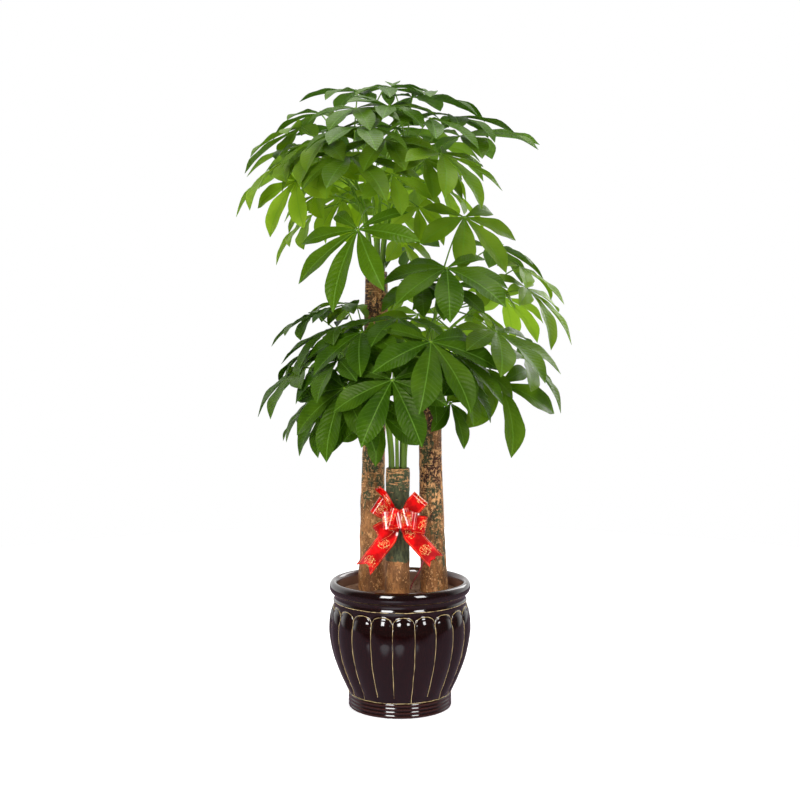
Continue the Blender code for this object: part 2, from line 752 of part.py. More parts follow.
def bow_axes(degrees, lean):
    """The way a loop or tail runs, the ribbon's width there, and the way that it faces."""
    flat = polar(degrees, 1.0)
    low = math.radians(lean)
    out = Vector((flat.x * math.cos(low), -math.sin(low), flat.y * math.cos(low)))
    across = Vector((-flat.y, 0.0, flat.x))
    return out, across, out.cross(across)


def ribbon(path, widths, across):
    """A closed strip of ribbon along a path, as wide as it says at each point."""
    points = []
    for point, width, (along, _, _) in zip(path, widths, frames(path)):
        face = along.cross(across).normalized()
        for x, y in ((-1, -1), (1, -1), (1, 1), (-1, 1)):
            points.append(point + across * (x * width / 2) + face * (y * RIBBON_THICK / 2))
    return loft(points, 4)


def loop_shape(degrees, lean, length):
    """A loop of ribbon, out from the knot and back to it."""
    out, across, face = bow_axes(degrees, lean)
    path, widths = [], []
    for i in range(LOOP_RINGS):
        turn = math.radians(LOOP_ROOT * (2 * i / (LOOP_RINGS - 1) - 1))
        reach = length * (0.52 + 0.48 * math.cos(turn))
        bulge = LOOP_DEPTH * math.sin(turn) * min(1.0, reach / (0.4 * length))
        path.append(BOW_MIDDLE + out * reach + face * bulge)
        wide = min(1.0, reach / (0.7 * length))
        widths.append(LOOP_ROOT_WIDTH + (RIBBON_WIDTH - LOOP_ROOT_WIDTH) * wide)
    return ribbon(path, widths, across)


def tail_shape(degrees, length, width):
    """A tail of ribbon with a notched end."""
    out, across, _ = bow_axes(degrees, 0)
    start = BOW_MIDDLE - Vector((0, TAIL_START, 0))
    path = [start + out * length * share - Vector((0, TAIL_SAG * math.sin(math.pi * share), 0))
            for share in TAIL_SHARES]
    widths = [min(width, LOOP_ROOT_WIDTH), 0.8 * width, width, width, width]
    points, faces = ribbon(path, widths, across)
    # The last ring becomes the two tips, and two more points the bottom of the notch
    faces.pop(1)
    last = len(points) - 4
    deep = out * TAIL_NOTCH * width
    notch = [(points[last + i] + points[last + j]) / 2 - deep for i, j in ((0, 1), (3, 2))]
    a, b, c, d, front, back = range(last, last + 6)
    before = [index - 4 for index in (a, b, c, d)]
    faces = [face for face in faces if not {a, b, c, d} & set(face)]
    faces += [(before[0], a, front), (before[0], front, before[1]), (before[1], front, b),
              (before[3], back, d), (before[3], before[2], back), (before[2], c, back),
              (before[0], before[3], d, a), (before[1], b, c, before[2]),
              (a, d, back, front), (front, back, c, b)]
    return points + notch, faces


def tie_shape():
    """The band round the trunk that holds the bow, along the trunk's own outline."""
    sections = []
    for side in (-1, 1):
        height = BOW_MIDDLE.z + side * TIE_HEIGHT / 2
        outline = trunk_section("short", height)
        middle = sum(outline, Vector()) / TRUNK_SIDES
        for gap in (SEAT_GAP, SEAT_GAP + TIE_THICK):
            sections.append([point + (point - middle).normalized() * gap for point in outline])
    low_in, low_out, high_in, high_out = sections
    return loft([point for ring in zip(low_in, low_out, high_out, high_in) for point in ring], 4, True)


def build_bow(collection):
    mat = material("ribbon", (0.75, 0.01, 0.01), 0.35)
    tie = tie_shape()
    back = min(point.y for point in tie[0]) - SEAT_GAP
    add_object("bow_tie", shape_mesh(tie), mat, collection)
    bm = bmesh.new()
    bmesh.ops.create_cube(bm, size=2.0)
    for vert in bm.verts:
        squeeze = 1.0 if vert.co.y > 0 else KNOT_SQUEEZE
        vert.co.x = BOW_MIDDLE.x + vert.co.x * KNOT_HALF[0] * squeeze
        vert.co.z = BOW_MIDDLE.z + vert.co.z * KNOT_HALF[1] * squeeze
        vert.co.y = back if vert.co.y > 0 else BOW_MIDDLE.y - KNOT_FRONT
    bow = add_object("bow", bm, mat, collection)
    repeats = bpy.data.collections.new("bow_strips")
    for i, loop in enumerate(LOOPS):
        add_object(f"bow_loop_{i}", shape_mesh(loop_shape(*loop)), mat, repeats)
    for i, tail in enumerate(TAILS):
        add_object(f"bow_tail_{i}", shape_mesh(tail_shape(*tail)), mat, repeats)
    join(bow, repeats)


def smooth(route, steps):
    """Points on the smooth curve that passes through each point of a route."""
    result = []
    for i, (a, b) in enumerate(zip(route, route[1:])):
        before = route[max(i - 1, 0)]
        after = route[min(i + 2, len(route) - 1)]
        for k in range(steps):
            t = k / steps
            bend = (2 * before - 5 * a + 4 * b - after) * t**2
            result.append(0.5 * (2 * a + (b - before) * t + bend + (3 * a - before - 3 * b + after) * t**3))
    return result + [route[-1]]


def build_string(collection):
    """The drawstring's free end."""
    path = smooth([Vector(point) for point in STRING_ROUTE], STRING_STEPS)
    data = bpy.data.curves.new("bow_string", "CURVE")
    data.dimensions = "3D"
    data.bevel_depth = STRING_RADIUS
    data.bevel_resolution = 2
    data.use_fill_caps = True
    spline = data.splines.new("POLY")
    spline.points.add(len(path) - 1)
    for point, place in zip(spline.points, path):
        point.co = (*place, 1.0)
    data.materials.append(material("string", (0.30, 0.01, 0.02), 0.5))
    collection.objects.link(bpy.data.objects.new("bow_string", data))


def main():
    for obj in list(bpy.data.objects):
        bpy.data.objects.remove(obj)
    tree = bpy.data.collections.new("money_tree")
    cutters = bpy.data.collections.new("cutters")
    bpy.context.scene.collection.children.link(tree)
    bpy.context.scene.collection.children.link(cutters)
    build_pot(tree)
    build_soil(tree, cutters)
    build_trunks(tree)
    build_shoots(tree)
    build_bow(tree)
    build_string(tree)


main()
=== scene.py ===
import math
from random import Random

import bmesh
import bpy
from mathutils import Matrix, Vector, noise
from mathutils.bvhtree import BVHTree


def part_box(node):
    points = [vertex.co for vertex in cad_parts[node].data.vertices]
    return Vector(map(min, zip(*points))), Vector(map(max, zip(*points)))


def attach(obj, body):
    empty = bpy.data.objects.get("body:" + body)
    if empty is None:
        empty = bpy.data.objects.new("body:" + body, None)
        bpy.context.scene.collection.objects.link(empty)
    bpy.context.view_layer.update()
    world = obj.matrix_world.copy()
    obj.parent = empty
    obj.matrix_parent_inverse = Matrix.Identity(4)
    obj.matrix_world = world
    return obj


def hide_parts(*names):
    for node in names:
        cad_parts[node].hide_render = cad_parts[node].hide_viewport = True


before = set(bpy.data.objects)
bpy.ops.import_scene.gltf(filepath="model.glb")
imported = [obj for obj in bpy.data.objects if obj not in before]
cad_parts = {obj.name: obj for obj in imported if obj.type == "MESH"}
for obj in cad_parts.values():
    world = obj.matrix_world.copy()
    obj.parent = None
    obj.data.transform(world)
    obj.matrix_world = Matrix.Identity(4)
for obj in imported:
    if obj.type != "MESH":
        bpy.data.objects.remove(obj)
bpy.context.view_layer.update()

# The tree's layout, as in the part's source: metres, +Z up, the bow's side faces -Y
SEAT_GAP = 0.0003

# The pot, with (radius, height) for each place on its outline
LOBES = 20
LOBE_TURN = math.radians(-6)
RIM_MIDDLE = (0.1560, 0.2830)
RIM_HALF = (0.0095, 0.0140)
GROOVE_DEPTH = 0.0045
GROOVE_FADE = 0.020
FOOT_TOP = 0.034
FOOT_RADIUS = 0.1213
FOOT_RIBS = 4
FOOT_RIB_DEPTH = 0.0022
FLOOR = 0.016
NECK = ((0.1550, 0.2660), (0.1540, 0.2580), (0.1575, 0.2500), (0.1550, 0.2430))
BODY = (
    (0.1600, 0.2320),
    (0.1662, 0.2020),
    (0.1662, 0.1700),
    (0.1570, 0.1220),
    (0.1400, 0.0750),
)
INSIDE = ((0.1050, FLOOR), (0.1230, 0.0600), (0.1475, 0.1350), (0.1545, 0.1850), (0.1470, 0.2500))

SOIL_GAP = 0.0006
# Radius and height, from the wall to the middle
SOIL_TOP = ((0.1470, 0.2580), (0.1400, 0.2600), (0.0700, 0.2650), (0.0, 0.2670))

TRUNK_SIDES = 14
TRUNK_ROOT = 0.1200
# The middle (x, y) of each trunk at some heights, and its radius there
TRUNKS = {
    "tall": (
        (-0.066, 0.060, TRUNK_ROOT, 0.0345),
        (-0.066, 0.060, 0.272, 0.0345),
        (-0.066, 0.060, 0.330, 0.0315),
        (-0.065, 0.060, 0.450, 0.0285),
        (-0.063, 0.060, 0.580, 0.0272),
        (-0.061, 0.059, 0.720, 0.0278),
        (-0.058, 0.058, 0.860, 0.0270),
        (-0.056, 0.057, 0.960, 0.0274),
        (-0.056, 0.057, 1.020, 0.0258),
    ),
    "medium": (
        (0.081, 0.030, TRUNK_ROOT, 0.0335),
        (0.081, 0.030, 0.272, 0.0335),
        (0.079, 0.030, 0.330, 0.0312),
        (0.075, 0.030, 0.450, 0.0285),
        (0.072, 0.030, 0.580, 0.0272),
        (0.070, 0.030, 0.700, 0.0266),
        (0.069, 0.030, 0.800, 0.0250),
    ),
    "short": (
        (-0.006, -0.060, TRUNK_ROOT, 0.0285),
        (-0.006, -0.060, 0.272, 0.0285),
        (-0.006, -0.060, 0.330, 0.0280),
        (-0.005, -0.060, 0.440, 0.0272),
        (-0.005, -0.060, 0.500, 0.0268),
        (-0.005, -0.060, 0.548, 0.0282),
        (-0.005, -0.060, 0.568, 0.0268),
    ),
}
BARK_SWELL = 0.022

SHOOT_RADIUS = (0.0048, 0.0028)
SHOOT_SIDES = 5
SHOOT_STEPS = 5
SHOOT_ROOT = 0.62
SHOOT_UPRIGHT = 0.60
# Root angle on the cut, then the tip's angle, reach (cm) and height (cm)
SHOOTS = {
    "tall": ((205, 200, 9, 126), (270, 262, 9, 124), (320, 315, 10, 127),
             (10, 5, 9, 126), (75, 80, 9, 127), (140, 150, 8, 128)),
    "medium": ((285, 290, 8, 97), (350, 355, 9, 92), (60, 30, 4, 103), (140, 75, 7, 92)),
    "short": ((225, 225, 7, 77), (185, 185, 7, 79), (265, 262, 7, 76), (310, 300, 6, 80),
              (345, 330, 7, 76), (140, 150, 8, 80), (60, 80, 9, 79)),
}

# Shoot, then the hub's angle, reach (cm) and height (cm) from the trunk's axis, the way the
# leaf faces, how far it dips (degrees), its longest leaflet (cm) and its leaflets
LEAVES = {
    "tall": (
        (0, -163, 18, 135, -172, 28, 17, 6),
        (0, -160, 22, 127, -165, 38, 17, 6),
        (0, -144, 22, 122, -125, 62, 14, 6),
        (0, -123, 20, 130, -145, 30, 16, 6),
        (1, -97, 28, 110, -122, 56, 19, 7),
        (1, -103, 23, 126, -80, 24, 17, 6),
        (1, -97, 25, 132, -95, 8, 15, 6),
        (1, -94, 17, 137, -85, 14, 13, 5),
        (2, -54, 25, 127, -42, 30, 17, 7),
        (2, -56, 22, 135, -60, 22, 14, 6),
        (2, -50, 13, 141, -8, 4, 18, 6),
        (2, -81, 25, 122, -70, 45, 12, 5),
        (3, -14, 20, 133, -6, 0, 20, 6),
        (3, -23, 19, 137, -20, 10, 16, 6),
        (3, 21, 16, 123, 5, 38, 16, 5),
        (3, -15, 10, 117, -50, 52, 11, 6),
        (4, 121, 16, 137, 120, 20, 15, 6),
        (4, 74, 17, 138, 72, 20, 15, 6),
        (4, 45, 21, 134, 38, 28, 16, 6),
        (4, 94, 21, 127, 95, 45, 15, 6),
        (5, -126, 7, 143, 176, 0, 14, 5),
        (5, -78, 9, 143, -30, 2, 13, 5),
        (5, 178, 13, 139, 178, 8, 13, 5),
        (5, 155, 17, 116, 175, 46, 15, 5),
        (5, 138, 22, 131, 142, 28, 16, 6),
        (0, -172, 14, 120, -150, 48, 12, 5),
        (3, -62, 12, 109, -38, 50, 12, 5),
        (5, 165, 19, 132, 170, 22, 15, 6),
    ),
    "medium": (
        (0, -81, 21, 102, -88, 32, 18, 7),
        (0, -46, 21, 88, -38, 30, 18, 7),
        (0, -36, 13, 80, -60, 58, 13, 5),
        (1, -8, 21, 103, -22, 34, 14, 5),
        (1, 2, 23, 98, -24, 44, 18, 6),
        (1, -5, 22, 82, -18, 46, 16, 5),
        (1, -16, 17, 76, -52, 60, 18, 5),
        (2, -45, 11, 114, -62, 50, 16, 6),
        (2, 15, 16, 108, 20, 22, 15, 6),
        (2, 110, 8, 109, 165, 32, 14, 5),
        (3, 36, 12, 94, 5, 36, 14, 6),
        (3, 39, 24, 96, 45, 40, 15, 6),
        (3, 70, 18, 88, 85, 42, 15, 6),
        (3, 112, 12, 97, 150, 30, 14, 6),
        (0, -100, 9, 99, -120, 24, 13, 6),
    ),
    "short": (
        (0, -125, 20, 76, -122, 56, 16, 7),
        (0, -133, 19, 82, -145, 34, 14, 6),
        (1, -170, 22, 80, -162, 42, 16, 6),
        (1, -172, 14, 89, -165, 28, 15, 6),
        (1, 159, 22, 72, -175, 56, 13, 6),
        (2, -93, 22, 78, -92, 58, 16, 6),
        (2, -125, 14, 88, -120, 34, 15, 6),
        (2, -112, 10, 70, -105, 72, 12, 5),
        (3, -68, 19, 86, -68, 46, 18, 6),
        (3, -90, 9, 91, -95, 8, 14, 6),
        (4, -48, 19, 83, -42, 44, 15, 6),
        (4, -24, 13, 72, -50, 60, 11, 5),
        (5, 133, 24, 84, 150, 42, 15, 6),
        (5, 150, 11, 94, 172, 2, 12, 5),
        (6, 106, 25, 85, 110, 42, 14, 6),
        (6, 78, 26, 83, 75, 42, 14, 6),
        (0, -158, 17, 72, -145, 60, 14, 6),
        (1, -178, 12, 94, 178, 14, 13, 5),
        (5, 147, 7, 91, -105, 48, 12, 5),
        (5, 165, 20, 92, 175, 30, 13, 5),
        (1, 180, 19, 84, 178, 38, 14, 6),
        (2, -118, 17, 74, -112, 60, 14, 6),
        (4, -38, 17, 79, -30, 50, 14, 6),
    ),
}
LEAFLET_STEP = {5: 54, 6: 46, 7: 41}
LEAFLET_SWAY = 4
LEAFLET_SIZE = (0.93, 1.05)
SIDE_LEAFLET = 0.38
LEAFLET_WIDTH = 0.37
LEAFLET_THICK = 0.0014
LEAFLET_FOLD = 0.22
LEAFLET_RISE = 0.15
LEAFLET_DROOP = (0.02, 0.24)
LEAFLET_BEND = (0.25, 0.70)
SHORT_LEAFLET = 0.145
SHORT_STATIONS = ((0.38, 0.84), (0.76, 0.86))
LONG_STATIONS = ((0.28, 0.62), (0.58, 1.0), (0.85, 0.62))
HUB_RADIUS = 0.0045
HUB_HALF = 0.0016
STALK_RADIUS = (0.0019, 0.0014)
STALK_STEPS = 4
STALK_ROOTS = (0.50, 0.97)
STALK_ARCH = 0.16

# How far stalks and leaflets may be bent, to keep clear of each other
CLEARANCE = 0.0016
TRIES = 60
SHIFT_MORE = 0.0006
ARCH_MORE = (-0.004, 0.006)
SWAY_MORE = 0.004
SWING_MOST = 13
DROOP_MOST = 0.75
BEND_MOST = (-0.2, 0.7)
SHORT_TRIES = 36
SHORTER = 0.72

RIBBON_WIDTH = 0.040
BOW_MIDDLE = Vector((0.0, -0.1080, 0.4530))
KNOT_HALF = (0.0090, 0.0155)
KNOT_FRONT = 0.0135
# The way that a loop points (degrees), how far it leans forward (degrees), its length
LOOPS = (
    (48, 6, 0.072),
    (146, 6, 0.069),
    (209, 8, 0.061),
    (-10, 8, 0.061),
    (172, 56, 0.046),
    (8, 60, 0.048),
)
LOOP_ROOT = 164
LOOP_DEPTH = 0.0120
LOOP_ROOT_WIDTH = 0.012
# The way that a tail points (degrees), its length and its width; the last is a rolled stub
TAILS = ((-127, 0.138, RIBBON_WIDTH), (-48, 0.123, RIBBON_WIDTH), (119, 0.078, 0.014))
TAIL_START = 0.0040
TAIL_SAG = 0.0100
TAIL_NOTCH = 0.45
TIE_HEIGHT = 0.0070

STRING_RADIUS = 0.0018
STRING_STEPS = 2
STRING_ROUTE = (
    (0.0000, -0.0985, 0.4380),
    (0.0030, -0.0985, 0.4290),
    (0.0180, -0.0950, 0.4130),
    (0.0360, -0.0800, 0.3960),
    (0.0500, -0.0600, 0.3790),
    (0.0555, -0.0420, 0.3600),
    (0.0520, -0.0240, 0.3390),
    (0.0445, -0.0060, 0.3165),
    (0.0350, 0.0110, 0.2960),
    (0.0285, 0.0260, 0.2800),
    (0.0258, 0.0380, 0.2672),
)

# What the finer pieces add: the pot's arches and its gold lines, and where one line has run
LOBE_STEPS = 14
ARCH_FOOT = 0.200
ARCH_TOP = 0.2415
ARCH_OVER = 0.0065
ARCH_DROP = 0.0165
ARCH_POWER = 2.1
WALL_TOP = 0.2655
BARE_ABOVE = 0.240
NECK_LINE = 0.2520
FOOT_LINE = 0.0355
LINE_RADIUS = 0.00076
LINE_PROUD = 0.0001
LINE_STEP = 0.0055
LINE_UNDER_ARCH = 0.0006
DRIP_TURN = math.radians(29)
DRIP_HEIGHT = 0.222
DRIP_HALF = 0.007
DRIP_MORE = 1.3

BARK_SIDES = 64
BARK_STEP = 0.0045
BARK_FOOT = 0.2350

SOIL_SIDES = 96
SOIL_RINGS = 40
SOIL_FOOT = 0.225
SOIL_ROUGH = 0.0022
SOIL_LUMPS = 150
LUMP_REACH = 0.139
LUMP_SIZE = (0.0014, 0.0040)
# How much higher the soil lies at the wall, from where, and over how far
SOIL_BANK = 0.0090
BANK_FROM = 0.098
BANK_WIDE = 0.042

# Rows like those of the other loops, for the loops round the middle of the bow
INNER_LOOPS = (
    (186, 44, 0.052),
    (-8, 46, 0.051),
    (166, 64, 0.048),
    (16, 66, 0.047),
    (192, 80, 0.040),
    (-14, 82, 0.038),
)
INNER_DEPTH = 0.0115
OUTER_TILT = math.radians(-6)
INNER_TILT = math.radians(-15)
LOOP_STEPS = 60
# The fold across a loop near its end: its place as a share of the length, and its height
FOLD_AT = 0.90
FOLD_HIGH = 0.0016
TAIL_STEPS = 28
TAIL_CURL = 0.07
STUB_CURL = 0.35
STUB_ROLL = 0.0070
STUB_LONG = 1.20
RIBBON_ACROSS = 8
RIBBON_THICK = 0.0006
GATHER_FOLD = 0.0016
# How wide the ribbon's print is laid on the knot and the tie
PRINT_WIDTH = 0.09
TIE_SIDES = 96
# The tie's radius before it takes on the trunk's shape, and how far it then stands out
TIE_TURN = 0.030
TIE_PROUD = 0.0016

BLADE_ACROSS = 4
BLADE_ALONG = 14
BLADE_THICK = 0.0005
BLADE_FOLD = 0.30
BLADE_RIPPLE = 0.075
BLADE_DROOP = 0.020
# Share of a blade's length, and of its greatest half width there
BLADE_OUTLINE = (
    (0.00, 0.085), (0.05, 0.15), (0.14, 0.31), (0.28, 0.58), (0.42, 0.82), (0.55, 0.96),
    (0.64, 0.97), (0.75, 0.86), (0.85, 0.61), (0.92, 0.33), (0.97, 0.12), (1.00, 0.0),
)
# The finer stems and stalks, and how much thicker a stalk is at its two ends
STEM_STEPS = 10
STEM_SIDES = 12
STALK_SIDES = 8
STALK_FLARE = (1.35, 1.5)

WHITE = (1.0, 1.0, 1.0, 1.0)
# The world's light from before the tree and from behind it
BEFORE_TREE = 0.06
BEHIND_TREE = 1.15
FLOOR_RADIUS = 2.6
FLOOR_SIDES = 64
FLOOR_GLOW = 0.55
# Name, place, what it points at, width, height and watts
LIGHTS = (
    ("key", (-1.05, -2.50, 1.75), (0.0, 0.0, 0.5), 0.95, 1.60, 62),
    ("second", (1.55, -2.25, 1.75), (0.0, 0.0, 0.5), 0.75, 1.40, 36),
    ("top", (0.2, 0.2, 3.2), (0.0, 0.0, 0.5), 1.8, 1.8, 60),
    ("back_right", (1.6, 2.0, 1.9), (0.0, 0.0, 0.9), 1.2, 1.6, 26),
)

# How light the leaves of each trunk are, and how much lighter its outermost and lowest are painted:
# painted backlight, where light shines through them
OUTER_PAINTED_BACKLIGHT = {"tall": 1.0, "medium": 0.5, "short": 0.25}
LOW_PAINTED_BACKLIGHT = {"tall": 0.62, "medium": 0.0, "short": 0.0}
LEAF_TONE = {"tall": 0.75, "medium": 0.4, "short": 0.2}
# How much lighter some leaves are painted: partly young leaves, partly painted backlight where light
# shines through them
YOUNG_AND_BACKLIT_LEAVES = {
    "tall": {1: 0.35, 2: 0.9, 11: 0.5, 14: 0.9, 15: 0.8, 18: 0.5, 19: 0.9, 23: 1.0,
             24: 0.5, 25: 1.0, 26: 0.7},
    "medium": {3: 0.6, 4: 0.6, 7: 0.5, 10: 1.0, 11: 0.9, 12: 1.0, 13: 0.9},
    "short": {13: 0.6, 15: 0.8, 18: 0.6},
}
# How narrow the leaflets of some leaves are, as a share of the usual width
SLENDER_LEAVES = {"tall": {4: 0.78, 5: 0.88, 8: 0.86, 9: 0.88}, "medium": {4: 0.84}, "short": {}}
# Smaller leaves that fill the crowns, in rows like those of the other leaves, and how much lighter each
# is painted, for youth and as painted backlight
FILLING_LEAVES = {
    "tall": (
        (1, -102, 20, 137, -100, 20, 13, 6, 0.0),
        (2, -79, 19, 137, -70, 18, 13, 6, 0.0),
        (0, -120, 20, 131, -140, 22, 14, 6, 0.0),
        (1, -83, 21, 130, -95, 24, 13, 6, 0.0),
        (0, -121, 18, 126, -130, 40, 13, 6, 0.1),
        (2, -60, 22, 126, -50, 40, 13, 6, 0.1),
        (4, 69, 15, 136, 60, 24, 13, 5, 0.4),
        (5, 123, 17, 133, 120, 30, 13, 5, 0.4),
        (2, -40, 4, 144, -95, 4, 10, 5, 0.1),
        (5, 160, 12, 126, 165, 45, 12, 5, 0.9),
        (4, 60, 14, 126, 40, 45, 12, 5, 0.9),
        (3, 0, 13, 128, 10, 35, 13, 5, 0.7),
        (4, 95, 12, 124, 90, 55, 13, 6, 1.0),
        (5, 130, 13, 121, 120, 55, 13, 6, 1.0),
        (3, 40, 12, 122, 30, 50, 12, 5, 1.0),
        (5, 155, 9, 119, -150, 55, 11, 5, 1.0),
        (4, 70, 10, 117, 50, 55, 12, 5, 1.0),
    ),
    "medium": (
        (0, -70, 12, 98, -95, 35, 12, 5, 0.0),
        (2, 0, 12, 100, -30, 40, 13, 5, 0.7),
        (3, 100, 14, 92, 110, 40, 13, 5, 0.8),
        (1, 20, 14, 92, 0, 45, 12, 5, 0.6),
    ),
    "short": (
        (0, -135, 13, 79, -130, 50, 12, 5, 0.0),
        (2, -95, 14, 83, -90, 45, 13, 6, 0.0),
        (3, -60, 12, 79, -60, 55, 12, 5, 0.0),
        (4, -20, 14, 85, -20, 35, 13, 5, 0.0),
        (1, -165, 15, 77, -150, 55, 12, 5, 0.1),
        (5, 120, 14, 88, 130, 35, 12, 5, 0.5),
        (6, 60, 16, 82, 60, 45, 12, 5, 0.5),
    ),
}


# Camera and the cord


def add_object(name, data):
    obj = bpy.data.objects.new(name, data)
    bpy.context.scene.collection.objects.link(obj)
    return obj


def aim(obj, place, target):
    obj.location = place
    obj.rotation_euler = (Vector(target) - Vector(place)).to_track_quat("-Z", "Y").to_euler()


def make_camera():
    """A camera before the tree, a little over the height of its middle."""
    data = bpy.data.cameras.new("camera")
    data.lens = 58.0
    data.sensor_width = 36.0
    camera = add_object("camera", data)
    aim(camera, (0.0, -3.0, 0.91), (0.0, 0.0, 0.72))
    bpy.context.scene.camera = camera


def polar(degrees, reach, height=0.0):
    """The point that lies a reach away from the axis, at an angle and a height."""
    angle = math.radians(degrees)
    return Vector((reach * math.cos(angle), reach * math.sin(angle), height))


def ease(value):
    """Smoothly from 0 to 1 as the value goes from 0 to 1, and level beyond."""
    value = min(max(value, 0.0), 1.0)
    return value * value * (3 - 2 * value)


def smooth(route, steps):
    """Points on the smooth curve that passes through each point of a route."""
    result = []
    for i, (a, b) in enumerate(zip(route, route[1:])):
        before = route[max(i - 1, 0)]
        after = route[min(i + 2, len(route) - 1)]
        for k in range(steps):
            t = k / steps
            bend = (2 * before - 5 * a + 4 * b - after) * t**2
            lift = (3 * a - before - 3 * b + after) * t**3
            result.append(0.5 * (2 * a + (b - before) * t + bend + lift))
    return result + [route[-1]]


def make_string(mat):
    """The drawstring's free end, one open spline from the knot to the soil."""
    path = smooth([Vector(point) for point in STRING_ROUTE], STRING_STEPS)
    data = bpy.data.curves.new("drawstring", "CURVE")
    data.dimensions = "3D"
    data.bevel_depth = STRING_RADIUS
    data.bevel_resolution = 3
    data.use_fill_caps = True
    spline = data.splines.new("POLY")
    spline.points.add(len(path) - 1)
    for point, place in zip(spline.points, path):
        point.co = (*place, 1.0)
    spline.use_smooth = True
    data.materials.append(mat)
    string = add_object("drawstring", data)
    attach(string, "root")
    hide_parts("bow_string")
    length = sum((b - a).length for a, b in zip(path, path[1:]))
    tuple(path[0])


# Finishes


class Nodes:
    """A tree of shader nodes, and short ways to add to it."""

    def __init__(self, tree):
        self.tree = tree

    def feed(self, socket, value):
        """Link a node's output to a socket, or set the socket to a plain value."""
        if isinstance(value, bpy.types.NodeSocket):
            self.tree.links.new(value, socket)
        else:
            socket.default_value = value

    def add(self, kind, inputs=(), **settings):
        node = self.tree.nodes.new("ShaderNode" + kind)
        for key, value in settings.items():
            setattr(node, key, value)
        for key, value in dict(inputs).items():
            self.feed(node.inputs[key], value)
        return node

    def axes(self, vector):
        return self.add("SeparateXYZ", {"Vector": vector}).outputs

    def math(self, operation, a, b=0.0):
        return self.add("Math", {0: a, 1: b}, operation=operation).outputs[0]

    def plus(self, a, b):
        return self.math("ADD", a, b)

    def less(self, a, b):
        return self.math("SUBTRACT", a, b)

    def times(self, a, b):
        return self.math("MULTIPLY", a, b)

    def step(self, value, low, high, bottom=0.0, top=1.0):
        """Smoothly from bottom to top as the value goes from low to high."""
        inputs = {
            "Value": value, "From Min": low, "From Max": high, "To Min": bottom, "To Max": top,
        }
        return self.add("MapRange", inputs, interpolation_type="SMOOTHSTEP").outputs[0]

    def either(self, share, a, b):
        """A mix of two shaders, by the share of the second."""
        return self.add("MixShader", {0: share, 1: a, 2: b}).outputs[0]


class Finish(Nodes):
    """A material made node by node round its Principled shader."""

    def __init__(self, name, roughness, specular=0.5):
        self.mat = bpy.data.materials.new(name)
        self.mat.use_nodes = True
        super().__init__(self.mat.node_tree)
        self.shader = self.tree.nodes["Principled BSDF"]
        self.surface = self.tree.nodes["Material Output"].inputs["Surface"]
        self.put("Roughness", roughness)
        self.put("Specular IOR Level", specular)

    def put(self, socket, value):
        self.feed(self.shader.inputs[socket], value)

    def place(self):
        return self.add("TexCoord").outputs["Object"]

    def scaled(self, vector, scale):
        return self.add("Mapping", {"Vector": vector, "Scale": scale}).outputs[0]

    def noise(self, vector, scale, detail=3.0, roughness=0.55, distortion=0.0):
        inputs = {
            "Vector": vector, "Scale": scale, "Detail": detail, "Roughness": roughness,
            "Distortion": distortion,
        }
        return self.add("TexNoise", inputs).outputs["Fac"]

    def attribute(self, name):
        return self.add("Attribute", attribute_name=name).outputs["Fac"]

    def mix(self, share, a, b):
        node = self.add("Mix", data_type="RGBA")
        self.feed(node.inputs[0], share)
        for socket, colour in ((node.inputs[6], a), (node.inputs[7], b)):
            self.feed(socket, colour if isinstance(colour, bpy.types.NodeSocket) else (*colour, 1.0))
        return node.outputs[2]

    def colour(self, value):
        self.put("Base Color", value)

    def rough(self, value):
        self.put("Roughness", value)

    def bump(self, height, distance, strength=1.0):
        inputs = {"Height": height, "Distance": distance, "Strength": strength}
        self.put("Normal", self.add("Bump", inputs).outputs[0])


def glaze_finish():
    """Aubergine glaze, browner where it runs thin over an edge."""
    glaze = Finish("aubergine_glaze", 0.07)
    glaze.put("IOR", 1.75)
    place = glaze.place()
    cloud = glaze.noise(place, 9.0, 3.0)
    body = glaze.mix(cloud, (0.0042, 0.0004, 0.0003), (0.0090, 0.0010, 0.0008))
    speck = glaze.step(glaze.noise(place, 420.0, 2.0), 0.62, 0.72)
    body = glaze.mix(glaze.times(speck, 0.3), body, (0.030, 0.008, 0.006))
    thin = glaze.attribute("thin")
    body = glaze.mix(thin, body, (0.085, 0.022, 0.012))
    bare = glaze.attribute("bare")
    clay = glaze.mix(cloud, (0.12, 0.048, 0.022), (0.23, 0.100, 0.050))
    glaze.colour(glaze.mix(bare, body, clay))
    gloss = glaze.step(glaze.noise(place, 30.0), 0.3, 0.7, 0.05, 0.11)
    glaze.rough(glaze.plus(gloss, glaze.times(bare, 0.5)))
    ripple = glaze.noise(place, 55.0, 2.0)
    glaze.bump(ripple, 0.0006, 0.35)
    return glaze.mat


def line_finish():
    """Pale gold where the glaze has drawn back from a raised line."""
    line = Finish("gold_line_glaze", 0.22)
    place = line.place()
    worn = line.noise(place, 130.0, 4.0)
    tone = line.mix(worn, (0.34, 0.22, 0.075), (0.66, 0.53, 0.27))
    gap = line.step(line.noise(place, 48.0, 3.0), 0.34, 0.42, 1.0, 0.0)
    line.colour(line.mix(gap, tone, (0.10, 0.055, 0.025)))
    line.rough(line.step(worn, 0.3, 0.7, 0.14, 0.34))
    line.bump(worn, 0.0004, 0.5)
    return line.mat


def soil_finish():
    """Crumbly brown soil with paler grains."""
    soil = Finish("potting_soil", 0.95, 0.2)
    place = soil.place()
    clod = soil.noise(place, 60.0, 6.0, 0.65)
    grain = soil.noise(place, 420.0, 4.0, 0.7)
    tone = soil.mix(clod, (0.110, 0.055, 0.032), (0.330, 0.180, 0.105))
    tone = soil.mix(soil.step(grain, 0.58, 0.72), tone, (0.44, 0.27, 0.160))
    soil.colour(tone)
    both = soil.plus(clod, soil.times(grain, 0.5))
    soil.bump(both, 0.004, 0.8)
    return soil.mat


